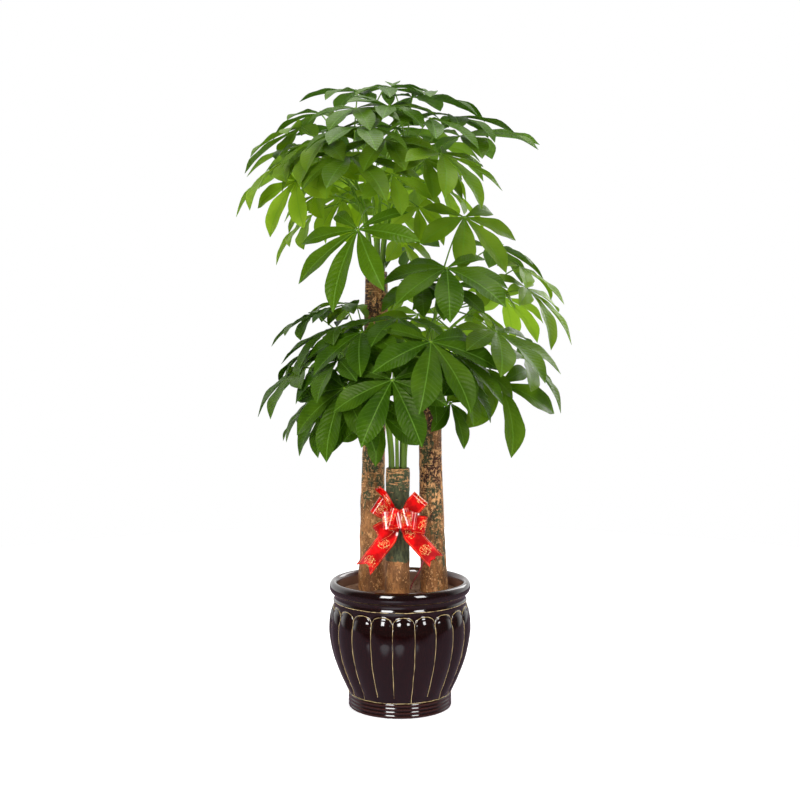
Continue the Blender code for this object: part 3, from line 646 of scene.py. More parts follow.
def bark_finish():
    """Bark: brown skin, green patches, a dark wine shade, and tan where the skin has peeled."""
    bark = Finish("pachira_bark", 0.62, 0.35)
    place = bark.place()
    cloud = bark.noise(bark.scaled(place, (1.0, 1.0, 0.6)), 26.0, 5.0, 0.6)
    fine = bark.noise(bark.scaled(place, (1.0, 1.0, 0.35)), 230.0, 5.0, 0.65)
    skin = bark.mix(bark.step(cloud, 0.35, 0.65), (0.210, 0.086, 0.027), (0.500, 0.215, 0.066))
    skin = bark.mix(bark.step(fine, 0.42, 0.62, 0.0, 0.62), skin, (0.105, 0.045, 0.017))
    patch = bark.noise(bark.scaled(place, (1.0, 1.0, 0.45)), 46.0, 4.0, 0.62)
    green = bark.step(bark.plus(patch, bark.attribute("green")), 0.86, 0.96)
    moss = bark.mix(bark.step(fine, 0.35, 0.65), (0.030, 0.040, 0.018), (0.100, 0.112, 0.048))
    skin = bark.mix(green, skin, moss)
    wine = bark.mix(bark.step(fine, 0.35, 0.65), (0.024, 0.009, 0.006), (0.085, 0.030, 0.018))
    shade = bark.noise(bark.scaled(place, (1.0, 1.0, 0.5)), 31.0, 4.0, 0.62)
    shade = bark.step(bark.plus(shade, bark.attribute("wine")), 0.84, 0.98)
    skin = bark.mix(shade, skin, wine)
    peel = bark.attribute("peel")
    flake = bark.noise(bark.scaled(place, (1.0, 1.0, 0.62)), 88.0, 6.0, 0.72, 0.1)
    flake = bark.step(bark.plus(flake, peel), 0.87, 0.91)
    speck = bark.noise(bark.scaled(place, (1.0, 1.0, 0.8)), 210.0, 3.0, 0.6)
    speck = bark.step(bark.plus(speck, bark.times(peel, 0.8)), 0.845, 0.885)
    flake = bark.math("MAXIMUM", flake, speck)
    ring = bark.noise(bark.scaled(place, (0.60, 0.60, 4.0)), 62.0, 4.0, 0.60, 0.2)
    ring = bark.step(bark.plus(ring, bark.attribute("ring")), 0.86, 0.90)
    scar = bark.math("MAXIMUM", flake, ring)
    tan = bark.mix(bark.step(fine, 0.35, 0.65), (0.42, 0.185, 0.062), (0.84, 0.455, 0.190))
    bark.colour(bark.mix(scar, skin, tan))
    bark.rough(bark.step(fine, 0.3, 0.7, 0.50, 0.80))
    crack = bark.noise(bark.scaled(place, (1.0, 1.0, 0.16)), 330.0, 4.0, 0.6)
    relief = bark.plus(bark.times(fine, 0.8), bark.times(crack, 0.7))
    relief = bark.less(relief, bark.times(scar, 0.55))
    bark.bump(relief, 0.0016, 0.75)
    return bark.mat


def wood_finish():
    """The sawn top of a trunk, with its rings."""
    wood = Finish("sawn_wood", 0.8, 0.3)
    place = wood.place()
    fine = wood.noise(place, 300.0, 5.0, 0.65)
    core = wood.plus(wood.attribute("core"), wood.times(fine, 0.05))
    ring = wood.step(wood.math("PINGPONG", core, 0.055), 0.0, 0.05)
    tone = wood.mix(ring, (0.17, 0.085, 0.034), (0.40, 0.225, 0.095))
    wood.colour(wood.mix(wood.step(fine, 0.5, 0.75), tone, (0.11, 0.055, 0.026)))
    wood.bump(wood.plus(fine, ring), 0.0012, 0.8)
    return wood.mat


def stem_finish():
    """Green stem, browner at the foot of a shoot."""
    stem = Finish("green_stem", 0.42, 0.25)
    place = stem.place()
    streak = stem.noise(stem.scaled(place, (1.0, 1.0, 0.12)), 320.0, 3.0)
    tone = stem.mix(streak, (0.085, 0.190, 0.010), (0.220, 0.380, 0.022))
    wood = stem.attribute("wood")
    stem.colour(stem.mix(wood, tone, (0.130, 0.200, 0.030)))
    stem.bump(streak, 0.0006, 0.5)
    return stem.mat


def blade_finish(name, under):
    """A leaflet's skin: ribs in the blade map, glossy above and pale below, lit through."""
    blade = Finish(name, 0.34, 0.17)
    blade.put("Specular Tint", (1.0, 0.98, 0.66, 1.0))
    axes = blade.axes(blade.add("UVMap", uv_map="blade").outputs["UV"])
    side = blade.math("ABSOLUTE", blade.less(axes["X"], 0.5))
    along = axes["Y"]
    lean = blade.times(side, blade.plus(0.62, blade.times(side, 1.6)))
    run = blade.times(blade.less(along, lean), 15.0)
    wave = blade.math("PINGPONG", run, 0.5)
    vein = blade.step(wave, 0.015, 0.085, 1.0, 0.0)
    rib = blade.step(side, 0.0035, 0.0105, 1.0, 0.0)
    lines = blade.math("MAXIMUM", rib, blade.times(vein, 0.34))
    place = blade.place()
    cloud = blade.noise(place, 14.0, 3.0)
    mottle = blade.noise(place, 160.0, 3.0)
    tone = blade.attribute("tone")
    # Lighter, yellower and more translucent where this attribute is high: partly young leaves, partly
    # painted backlight
    young = blade.attribute("young")
    deep = blade.mix(blade.step(cloud, 0.3, 0.7), (0.020, 0.062, 0.0015), (0.048, 0.118, 0.0028))
    fresh = blade.mix(blade.step(cloud, 0.3, 0.7), (0.170, 0.290, 0.016), (0.320, 0.450, 0.040))
    face = blade.mix(tone, deep, (0.082, 0.178, 0.0030))
    face = blade.mix(young, face, fresh)
    face = blade.mix(blade.step(mottle, 0.45, 0.75, 0.0, 0.25), face, (0.022, 0.075, 0.0040))
    if under:
        face = blade.mix(0.42, face, (0.160, 0.310, 0.060))
        blade.rough(blade.step(mottle, 0.3, 0.7, 0.48, 0.62))
    else:
        blade.rough(blade.step(mottle, 0.3, 0.7, 0.26, 0.38))
    face = blade.mix(blade.times(lines, 0.62), face, (0.175, 0.360, 0.040))
    blade.colour(face)
    swell = blade.times(blade.step(wave, 0.0, 0.5), 0.6)
    relief = blade.less(swell, lines)
    if under:
        relief = blade.times(relief, -1.0)
    blade.bump(relief, 0.0010, 0.55)
    through = blade.mix(tone, (0.150, 0.290, 0.001), (0.290, 0.480, 0.003))
    through = blade.mix(young, through, (0.640, 0.820, 0.100))
    through = blade.mix(blade.times(lines, 0.5), through, (0.30, 0.50, 0.03))
    glow = blade.add("BsdfTranslucent", {"Color": through}).outputs[0]
    share = blade.step(young, 0.0, 1.0, 0.36, 0.56)
    blade.feed(blade.surface, blade.either(share, blade.shader.outputs[0], glow))
    return blade.mat


def ribbon_finish():
    """Glossy red gift ribbon: a gold pinstripe by each edge, and gold swirls between."""
    ribbon = Finish("red_gift_ribbon", 0.12, 0.25)
    ribbon.put("Coat Weight", 1.0)
    ribbon.put("Coat Roughness", 0.03)
    ribbon.put("Coat IOR", 1.6)
    uv = ribbon.add("UVMap", uv_map="ribbon").outputs["UV"]
    axes = ribbon.axes(uv)
    across = ribbon.less(axes["X"], 0.5)
    stripe = ribbon.math("ABSOLUTE", ribbon.less(ribbon.math("ABSOLUTE", across), 0.430))
    stripe = ribbon.step(stripe, 0.004, 0.012, 0.35, 0.0)
    cell = ribbon.less(ribbon.math("FLOORED_MODULO", axes["Y"], 1.30), 0.65)
    square = ribbon.plus(ribbon.times(across, across), ribbon.times(cell, cell))
    reach = ribbon.math("SQRT", square)
    turn = ribbon.math("ARCTAN2", cell, across)
    swirl = ribbon.noise(uv, 3.6, 2.0)
    turn = ribbon.plus(ribbon.times(turn, 3.0), ribbon.times(swirl, 9.0))
    petal = ribbon.times(ribbon.math("COSINE", turn), 0.16)
    sprig = ribbon.math("PINGPONG", ribbon.plus(reach, petal), 0.095)
    sprig = ribbon.step(sprig, 0.014, 0.024, 1.0, 0.0)
    ragged = ribbon.plus(reach, ribbon.times(swirl, 0.35))
    sprig = ribbon.times(sprig, ribbon.step(ragged, 0.48, 0.54, 1.0, 0.0))
    gold = ribbon.math("MAXIMUM", stripe, sprig)
    place = ribbon.place()
    worn = ribbon.step(ribbon.noise(place, 240.0, 3.0), 0.36, 0.46)
    gold = ribbon.times(gold, worn)
    cloud = ribbon.step(ribbon.noise(place, 46.0, 2.0), 0.35, 0.65)
    red = ribbon.mix(cloud, (0.36, 0.0005, 0.001), (0.74, 0.002, 0.003))
    ribbon.colour(ribbon.mix(gold, red, (0.95, 0.60, 0.20)))
    ribbon.rough(ribbon.step(gold, 0.0, 1.0, 0.20, 0.34))
    streak = ribbon.noise(ribbon.scaled(uv, (46.0, 1.1, 1.0)), 1.0, 3.0, 0.6)
    crease = ribbon.plus(ribbon.times(streak, 0.5), ribbon.noise(place, 90.0, 2.0))
    ribbon.bump(crease, 0.0006, 0.30)
    return ribbon.mat


def string_finish():
    """Twisted dark red string."""
    string = Finish("dark_red_string", 0.5)
    place = string.place()
    strands = {"Vector": place, "Scale": 260.0, "Distortion": 2.0}
    twist = string.add("TexWave", strands, bands_direction="DIAGONAL").outputs["Fac"]
    string.colour(string.mix(twist, (0.34, 0.045, 0.065), (0.80, 0.160, 0.200)))
    string.bump(twist, 0.0008, 0.6)
    return string.mat


def floor_finish():
    """A pale floor that glows white where it is seen. In the glaze it shows a painted reflection
    instead: dark far off, a purple-grey painted sheen near the pot, and a bright painted highlight patch
    before it.
    """
    floor = Finish("pale_floor", 0.9, 0.1)
    cloud = floor.noise(floor.place(), 1.5, 2.0)
    floor.colour(floor.mix(cloud, (0.84, 0.84, 0.84), (0.88, 0.88, 0.88)))
    floor.put("Emission Color", WHITE)
    floor.put("Emission Strength", FLOOR_GLOW)
    # Painted reflection, seen only by glossy rays: a bright painted highlight patch before the pot, and
    # a purple-grey painted sheen near it that fades to dark far off
    axes = floor.axes(floor.place())
    wide = floor.times(floor.plus(axes["X"], 0.12), 4.6)
    deep = floor.times(floor.plus(axes["Y"], 0.62), 4.2)
    patch = floor.plus(floor.times(wide, wide), floor.times(deep, deep))
    patch = floor.step(patch, 0.2, 1.2, 1.0, 0.0)
    near = floor.step(axes["Y"], -1.6, -0.5)
    painted_glaze_sheen = floor.mix(near, (0.02, 0.017, 0.02), (0.22, 0.165, 0.205))
    painted_glaze_sheen = floor.mix(patch, painted_glaze_sheen, (0.75, 0.75, 0.82))
    painted_reflection = floor.add("Emission", {"Color": painted_glaze_sheen, "Strength": 1.0}).outputs[0]
    glossy = floor.add("LightPath").outputs["Is Glossy Ray"]
    floor.feed(floor.surface, floor.either(glossy, floor.shader.outputs[0], painted_reflection))
    return floor.mat


# Making pieces


def finish_piece(name, bm, mats, nodes, sharp=0.9):
    """An object from a bmesh that rides on the tree; the CAD nodes that it takes the place of are
    hidden.
    """
    for face in bm.faces:
        face.smooth = True
    for edge in bm.edges:
        edge.smooth = edge.calc_face_angle(0.0) < sharp
    mesh = bpy.data.meshes.new(name)
    bm.to_mesh(mesh)
    bm.free()
    for mat in mats:
        mesh.materials.append(mat)
    obj = add_object(name, mesh)
    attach(obj, "root")
    if nodes:
        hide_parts(*nodes)
    return obj


def add_grid(bm, across, along):
    """A grid from -1 to 1 each way, to be bent to shape: its vertices and its faces."""
    verts = bmesh.ops.create_grid(bm, x_segments=across, y_segments=along, size=1.0)["verts"]
    return verts, list({face for vert in verts for face in vert.link_faces})


def map_faces(faces, uv, spot):
    """Set the map of some faces, where spot gives a vertex's place on it."""
    for face in faces:
        for loop in face.loops:
            loop[uv].uv = spot(loop.vert)


def ring_place(point, along, across, radius):
    """The matrix that takes a unit circle to a ring of a tube."""
    over = along.cross(across)
    turn = Matrix((across, over, along)).transposed()
    scale = Matrix.Diagonal((radius, radius, 1.0))
    return Matrix.Translation(point) @ (turn @ scale).to_4x4()


def directions(path, closed=False):
    """The way that a path runs at each of its points."""
    count = len(path)
    result = []
    for i in range(count):
        after = path[(i + 1) % count] if closed else path[min(i + 1, count - 1)]
        before = path[i - 1] if closed else path[max(i - 1, 0)]
        result.append((after - before).normalized())
    return result


def taper(radii, steps):
    """Radii that go evenly from the first of two to the second."""
    return [radii[0] + (radii[1] - radii[0]) * i / steps for i in range(steps + 1)]


def sweep(bm, path, radii, sides, closed=False):
    """A tube along a path, its ring extruded from point to point; its vertices in bm."""
    part = bmesh.new()
    heading = directions(path, closed)
    ring = bmesh.ops.create_circle(part, segments=sides, radius=1.0, cap_ends=not closed)["verts"]
    edges = list({edge for vert in ring for edge in vert.link_edges})
    last = Matrix.Identity(4)
    across = heading[0].orthogonal().normalized()
    places = []
    for point, along, radius in zip(path, heading, radii):
        if closed:
            across = Vector((0.0, 0.0, 1.0))
        across = (across - along * across.dot(along)).normalized()
        places.append(ring_place(point, along, across, radius))
    if closed:
        places.append(places[0])
    for i, place in enumerate(places):
        if i:
            new = bmesh.ops.extrude_edge_only(part, edges=edges)["geom"]
            ring = [item for item in new if isinstance(item, bmesh.types.BMVert)]
            edges = [item for item in new if isinstance(item, bmesh.types.BMEdge)]
        bmesh.ops.transform(part, matrix=place @ last.inverted(), verts=ring)
        last = place
    if closed:
        bmesh.ops.remove_doubles(part, verts=part.verts, dist=1e-6)
    else:
        bmesh.ops.edgeloop_fill(part, edges=edges)
    mesh = bpy.data.meshes.new("tube")
    part.to_mesh(mesh)
    part.free()
    first = len(bm.verts)
    bm.from_mesh(mesh)
    bpy.data.meshes.remove(mesh)
    bm.verts.ensure_lookup_table()
    return bm.verts[first:]


def turned(profile, steps, start=0.0, closed=False):
    """A bmesh of a profile of (radius, height) turned once round Z."""
    bm = bmesh.new()
    points = [bm.verts.new((radius, 0.0, height)) for radius, height in profile]
    pairs = [*zip(points, points[1:])]
    if closed:
        pairs.append((points[-1], points[0]))
    edges = [bm.edges.new(pair) for pair in pairs]
    turn = Matrix.Rotation(start, 3, "Z")
    bmesh.ops.rotate(bm, verts=points, cent=(0, 0, 0), matrix=turn)
    bmesh.ops.spin(
        bm, geom=points + edges, cent=(0, 0, 0), axis=(0, 0, 1), angle=math.tau,
        steps=steps, use_merge=True,
    )
    bmesh.ops.remove_doubles(bm, verts=bm.verts, dist=0.00003)
    return bm


def face_out(bm):
    bmesh.ops.recalc_face_normals(bm, faces=bm.faces)


def at_height(table, height):
    """The smooth value at a height, from rows of (height, value)."""
    for i, ((low, a), (high, b)) in enumerate(zip(table, table[1:])):
        if height <= high or i == len(table) - 2:
            break
    before = table[max(i - 1, 0)]
    after = table[min(i + 2, len(table) - 1)]
    start = (b - before[1]) / (high - before[0])
    end = (after[1] - a) / (after[0] - low)
    span = high - low
    t = min(max((height - low) / span, 0.0), 1.0)
    bend = (3 * t**2 - 2 * t**3) * (b - a)
    lift = (t - 2 * t**2 + t**3) * span * start + (t**3 - t**2) * span * end
    return a + bend + lift


# Pot


def inside_radius(height):
    for (low_radius, low), (high_radius, high) in zip(INSIDE, INSIDE[1:]):
        if height < high:
            return low_radius + (high_radius - low_radius) * (height - low) / (high - low)
    return INSIDE[-1][0]


def skin_curve():
    """The outer wall's rows of (height, radius), from the foot up to the rim."""
    neck = (*NECK[:2], (0.1560, 0.2535), (0.1560, 0.2505))
    shoulder = (
        (0.1626, 0.2250), (0.1588, 0.2370), (0.1572, 0.2400), (0.1554, 0.2422), (0.1552, 0.2450),
    )
    foot = ((0.1275, 0.0480), (FOOT_RADIUS - 0.0005, FOOT_TOP + 0.001))
    return sorted({(height, radius) for radius, height in (*neck, *shoulder, *BODY, *foot)})


SKIN = skin_curve()


def lobe_share(angle):
    """1 in a groove between two lobes, 0 on the crest of one."""
    phase = (angle - LOBE_TURN) * LOBES / math.tau % 1.0
    return abs(2.0 * phase - 1.0)


def arch_drop(angle, height):
    """How far the arched top of a lobe sinks towards its grooves."""
    near = ease((height - ARCH_FOOT) / (ARCH_TOP - ARCH_FOOT))
    near *= 1.0 - ease((height - ARCH_TOP) / ARCH_OVER)
    return ARCH_DROP * (1.0 - math.sqrt(max(0.0, 1.0 - lobe_share(angle)**ARCH_POWER))) * near


def skin_point(angle, height, proud=0.0):
    """A point of the fluted wall, named by its height on the crest of a lobe."""
    radius = at_height(SKIN, height)
    if FOOT_TOP < height < ARCH_TOP:
        ends = ease((ARCH_TOP + 0.001 - height) / GROOVE_FADE)
        ends *= ease((height - FOOT_TOP) / GROOVE_FADE)
        radius -= GROOVE_DEPTH * ends * lobe_share(angle) ** 2
    height -= arch_drop(angle, height)
    radius += proud
    return Vector((radius * math.sin(angle), -radius * math.cos(angle), height))


def rim_profile():
    """The rolled rim, from its inner side over the top to its outer side."""
    rim = []
    for degrees in range(180, -70, -12):
        point = polar(degrees, 1.0)
        rim.append(Vector((
            RIM_MIDDLE[0] + RIM_HALF[0] * point.x, RIM_MIDDLE[1] + RIM_HALF[1] * point.y,
        )))
    return rim


def foot_profile():
    """The ribbed foot, and the edge that it stands on."""
    foot = []
    rib = FOOT_TOP / FOOT_RIBS
    for i in range(FOOT_RIBS):
        for share in (0.03, 0.18, 0.5, 0.82, 0.97):
            bulge = math.sin(math.pi * share) ** 0.6
            radius = FOOT_RADIUS - FOOT_RIB_DEPTH * (1 - bulge)
            foot.append(Vector((radius, FOOT_TOP - (i + share) * rib)))
    foot[-1].y = 0.0012
    foot.append(Vector((foot[-1].x - 0.0014, 0.0)))
    foot.append(Vector((foot[-1].x - 0.0100, 0.0)))
    return foot


def pot_profile():
    """Radius and height from the middle of the inside floor, over the rim, to the underside."""
    inside = smooth([Vector(point) for point in INSIDE], 4)
    wall = []
    height = WALL_TOP
    while height > FOOT_TOP + 0.002:
        wall.append(Vector((at_height(SKIN, height), height)))
        height -= 0.0016 if height > 0.228 else 0.0060
    ends = Vector((0.0, FLOOR)), Vector((0.0, 0.0))
    return [ends[0], *inside, *rim_profile(), *wall, *foot_profile(), ends[1]]


def make_pot(mat):
    """The pot. The glaze runs thin on the lip and the foot, and leaves the inside bare."""
    bm = turned(pot_profile(), LOBES * LOBE_STEPS, LOBE_TURN - math.pi / 2)
    thin = bm.verts.layers.float.new("thin")
    bare = bm.verts.layers.float.new("bare")
    for vert in bm.verts:
        radius = math.hypot(vert.co.x, vert.co.y)
        angle = math.atan2(vert.co.x, -vert.co.y)
        height = vert.co.z
        if FOOT_TOP < height < 0.266 and radius > inside_radius(height) + 0.0035:
            vert.co = skin_point(angle, height)
        inner = ease((RIM_MIDDLE[0] + 0.002 - radius) / 0.008) * ease((height - 0.262) / 0.02)
        lip = ease((height - 0.2925) / 0.004)
        foot = 0.5 if height < FOOT_TOP and radius > FOOT_RADIUS - 0.0004 else 0.0
        vert[thin] = max(0.75 * inner, 0.35 * lip, foot)
        within = ease((RIM_MIDDLE[0] - RIM_HALF[0] + 0.003 - radius) / 0.002)
        vert[bare] = within * ease((0.290 - height) / 0.006) if height > BARE_ABOVE else 0.0
    face_out(bm)
    finish_piece("fluted_pot", bm, [mat], ["pot"], sharp=1.1)


def waver(angle, seed):
    """An uneven height for a place on a level line."""
    return noise.noise(Vector((math.sin(angle) * 6, math.cos(angle) * 6, seed)))


def add_level_line(bm, height, seed, most):
    """A gold line that runs round the pot."""
    count = LOBES * LOBE_STEPS
    turns = [math.tau * i / count + LOBE_TURN for i in range(count)]
    path = [skin_point(turn, height + most * waver(turn, seed), LINE_PROUD) for turn in turns]
    radii = [LINE_RADIUS * (0.85 + 0.7 * waver(turn * 3, seed + 3)) for turn in turns]
    sweep(bm, path, radii, 6, closed=True)


def add_groove_line(bm, angle, bottom, seed):
    """A gold line down a groove, thicker where it has run."""
    path = []
    radii = []
    height = ARCH_TOP - LINE_UNDER_ARCH
    while height > bottom:
        drift = noise.noise(Vector((seed, 0.0, height * 26)))
        path.append(skin_point(angle + 0.006 * drift, height, LINE_PROUD))
        thick = 0.80 + 0.75 * noise.noise(Vector((seed, 7.0, height * 60)))
        if abs(math.remainder(angle - DRIP_TURN, math.tau)) < math.pi / LOBES:
            thick += DRIP_MORE * math.exp(-((height - DRIP_HEIGHT) / DRIP_HALF) ** 2)
        radii.append(LINE_RADIUS * thick)
        height -= LINE_STEP
    sweep(bm, path, radii, 6)


def make_lines(mat):
    """The gold lines: one at the neck, one over the arches, one at the foot and the grooves'."""
    bm = bmesh.new()
    add_level_line(bm, NECK_LINE, 1.0, 0.0006)
    add_level_line(bm, ARCH_TOP - LINE_UNDER_ARCH, 5.0, 0.0004)
    add_level_line(bm, FOOT_LINE, 9.0, 0.0012)
    draw = Random(31)
    for groove in range(LOBES):
        angle = LOBE_TURN + math.tau * (groove + 0.5) / LOBES + math.pi / LOBES
        bottom = FOOT_LINE + draw.choice((0.0, 0.0, 0.003, 0.010))
        add_groove_line(bm, angle, bottom, draw.uniform(0, 50))
    face_out(bm)
    finish_piece("gold_glaze_lines", bm, [mat], [])


# Soil


def soil_height(radius):
    """How high the smooth soil lies at a distance from the middle."""
    return at_height([(-other, height) for other, height in SOIL_TOP], -radius)


def soil_bank(radius):
    """How much higher it lies near the wall, where it is banked up."""
    return SOIL_BANK * ease((radius - BANK_FROM) / BANK_WIDE)


def make_soil(mat):
    """The bed of soil, rough on top, and banked up against the wall."""
    profile = []
    for i in range(SOIL_RINGS + 1):
        radius = SOIL_TOP[0][0] * (1 - i / SOIL_RINGS) - (SOIL_GAP if i == 0 else 0.0)
        profile.append((max(radius, 0.0), soil_height(radius)))
    side = [(0.0, SOIL_FOOT), (inside_radius(SOIL_FOOT) - SOIL_GAP, SOIL_FOOT)]
    bm = turned([*side, *profile], SOIL_SIDES)
    for vert in bm.verts:
        radius = math.hypot(vert.co.x, vert.co.y)
        if vert.co.z > 0.250:
            rough = noise.fractal(vert.co * 55, 0.7, 2.0, 4)
            vert.co.z += SOIL_ROUGH * rough * ease((0.146 - radius) / 0.006) - 0.0008
            vert.co.z += soil_bank(radius)
    face_out(bm)
    finish_piece("soil_bed", bm, [mat], ["soil"], sharp=3.0)


def make_lumps(mat):
    """Small lumps that lie on the soil."""
    bm = bmesh.new()
    draw = Random(17)
    for _ in range(SOIL_LUMPS):
        spot = polar(draw.uniform(0, 360), LUMP_REACH * math.sqrt(draw.random()))
        size = draw.uniform(*LUMP_SIZE)
        made = bmesh.ops.create_icosphere(bm, subdivisions=1, radius=size)["verts"]
        for vert in made:
            vert.co *= 1 + 0.5 * noise.noise(vert.co * 400 + spot * 90)
        shape = Matrix.Diagonal((1.0, draw.uniform(0.6, 1.0), draw.uniform(0.35, 0.7), 1.0))
        turn = Matrix.Rotation(draw.uniform(0, math.tau), 4, "Z")
        top = soil_height(spot.length) + soil_bank(spot.length)
        lift = Matrix.Translation((spot.x, spot.y, top))
        bmesh.ops.transform(bm, matrix=lift @ turn @ shape, verts=made)
    face_out(bm)
    finish_piece("soil_lumps", bm, [mat], [], sharp=3.0)


# Trunks


def bark_radius(trunk, angle, height):
    """The trunk's smooth outline at an angle and a height."""
    rings = TRUNKS[trunk]
    table = []
    for number, (_, _, level, radius) in enumerate(rings):
        swell = BARK_SWELL if 1 < number < len(rings) - 1 else 0.0
        bump = math.sin(2 * angle + 31 * level) + 0.6 * math.sin(5 * angle - 17 * level)
        table.append((level, radius * (1 + swell * bump)))
    return at_height(table, height)


def trunk_middle(trunk, height):
    """The middle of a trunk at a height."""
    rings = TRUNKS[trunk]
    x = at_height([(row[2], row[0]) for row in rings], height)
    y = at_height([(row[2], row[1]) for row in rings], height)
    return Vector((x, y, height))


def bark_tone(trunk, height, angle):
    """How green, wine dark, peeled and ringed the bark is at a place, each from 0 to 1."""
    if trunk == "short":
        band = ease((height - 0.345) / 0.012)
        green = 0.60 * band
        wine = 0.0
        top = ease((height - 0.500) / 0.05)
        edge = math.exp(-((height - 0.338) / 0.020) ** 2)
        peel = 0.28 * (1 - band) + 0.19 * band + 0.12 * top + 0.02 * edge
        ring = 0.19 * (1 - band) + 0.20 * band + 0.13 * top
    elif trunk == "medium":
        rise = ease((height - 0.32) / 0.20)
        green = 0.30 + 0.12 * math.sin(2 * angle + 9 * height) + 0.10 * rise
        wine = 0.10 + 0.30 * rise + 0.08 * ease((height - 0.60) / 0.10)
        peel = 0.34 + 0.02 * math.sin(14 * height) - 0.05 * ease((height - 0.55) / 0.1)
        ring = 0.18 + 0.07 * rise
    else:
        rise = ease((height - 0.44) / 0.06)
        green = 0.28 + 0.14 * rise
        wine = 0.06 + 0.10 * rise + 0.2 * ease((height - 0.62) / 0.1)
        peel = 0.31 + 0.01 * rise
        ring = 0.20 + 0.09 * rise
    return green, wine, peel, ring


def make_trunk(trunk, bark, wood):
    """A trunk: its bark, rough and knotted, and its sawn top."""
    top = TRUNKS[trunk][-1][2]
    steps = round((top - BARK_FOOT) / BARK_STEP)
    wall = [(1.0, BARK_FOOT + (top - 0.0024 - BARK_FOOT) * i / steps) for i in range(steps + 1)]
    lip = [(0.985, top - 0.0008), (0.950, top), (0.925, top - 0.0004), (0.905, top - 0.0016)]
    cut = [(share / 10, top - 0.0012) for share in range(8, 0, -1)]
    bm = turned([(0.0, BARK_FOOT), *wall, *lip, *cut, (0.0, top - 0.0012)], BARK_SIDES)
    names = ("green", "wine", "peel", "ring", "core")
    layers = [bm.verts.layers.float.new(name) for name in names]
    seed = Vector((len(trunk) * 3.0, 0.0, 0.0))
    for vert in bm.verts:
        height = vert.co.z
        share = math.hypot(vert.co.x, vert.co.y)
        angle = math.atan2(vert.co.y, vert.co.x)
        round_way = Vector((math.cos(angle), math.sin(angle), 0.0))
        middle = trunk_middle(trunk, height)
        radius = bark_radius(trunk, angle, height)
        lift = Vector((0.0, 0.0, height))
        coarse = noise.noise(round_way * 1.8 + lift * 20 + seed)
        rings = noise.noise(round_way * 0.6 + lift * 105 + seed)
        knot = max(0.0, noise.noise(round_way * 2.2 + lift * 26 + seed) - 0.30)
        radius += (0.0009 * coarse + 0.0006 * rings + 0.0050 * knot) * ease((top - height) / 0.012)
        vert.co = middle + round_way * radius * share
        if share < 0.91 and height > top - 0.004:
            vert.co.z += 0.0007 * noise.noise(vert.co * 150)
        for layer, value in zip(layers, (*bark_tone(trunk, height, angle), 1.0 - share)):
            vert[layer] = value
    face_out(bm)
    core = layers[4]
    for face in bm.faces:
        inner = min(vert[core] for vert in face.verts)
        face.material_index = 1 if inner > 0.06 and face.normal.z > 0.2 else 0
    finish_piece(f"bark_{trunk}", bm, [bark, wood], [f"trunk_{trunk}"], sharp=1.2)


# Placing the leaves, by the same rule and the same draws as the part's source


def loft(points, sides):
    """A closed shape through rings of points, one after the other."""
    count = len(points)
    faces = [tuple(range(sides)), tuple(range(count - sides, count))]
    for start in range(0, count - sides, sides):
        after = start + sides
        for i in range(sides):
            j = (i + 1) % sides
            faces.append((start + i, start + j, after + j, after + i))
    return points, faces


def frames(points):
    """The way that a path runs at each point, and two ways square to it."""
    result = []
    across = None
    for i in range(len(points)):
        along = (points[min(i + 1, len(points) - 1)] - points[max(i - 1, 0)]).normalized()
        if across is None:
            across = along.orthogonal().normalized()
        across = (across - along * across.dot(along)).normalized()
        result.append((along, across, along.cross(across)))
    return result


def tube(path, radii, sides):
    points = []
    for i, (point, (_, across, over)) in enumerate(zip(path, frames(path))):
        radius = radii[0] + (radii[1] - radii[0]) * i / (len(path) - 1)
        for k in range(sides):
            angle = math.tau * k / sides
            points.append(point + radius * (math.cos(angle) * across + math.sin(angle) * over))
    return loft(points, sides)


def curve(start, middle, end, steps):
    """Points on a bend from the start to the end, drawn towards the middle point."""
    shares = [i / steps for i in range(steps + 1)]
    return [start * (1 - t) ** 2 + middle * 2 * t * (1 - t) + end * t * t for t in shares]


def trunk_room(trunk):
    """A trunk's solid, to find out what would touch it."""
    points = []
    for number, (x, y, height, radius) in enumerate(TRUNKS[trunk]):
        swell = BARK_SWELL if 1 < number < len(TRUNKS[trunk]) - 1 else 0.0
        for i in range(TRUNK_SIDES):
            angle = math.tau * i / TRUNK_SIDES
            bump = math.sin(2 * angle + 31 * height) + 0.6 * math.sin(5 * angle - 17 * height)
            reach = radius * (1 + swell * bump)
            points.append(Vector((x + reach * math.cos(angle), y + reach * math.sin(angle), height)))
    return loft(points, TRUNK_SIDES)


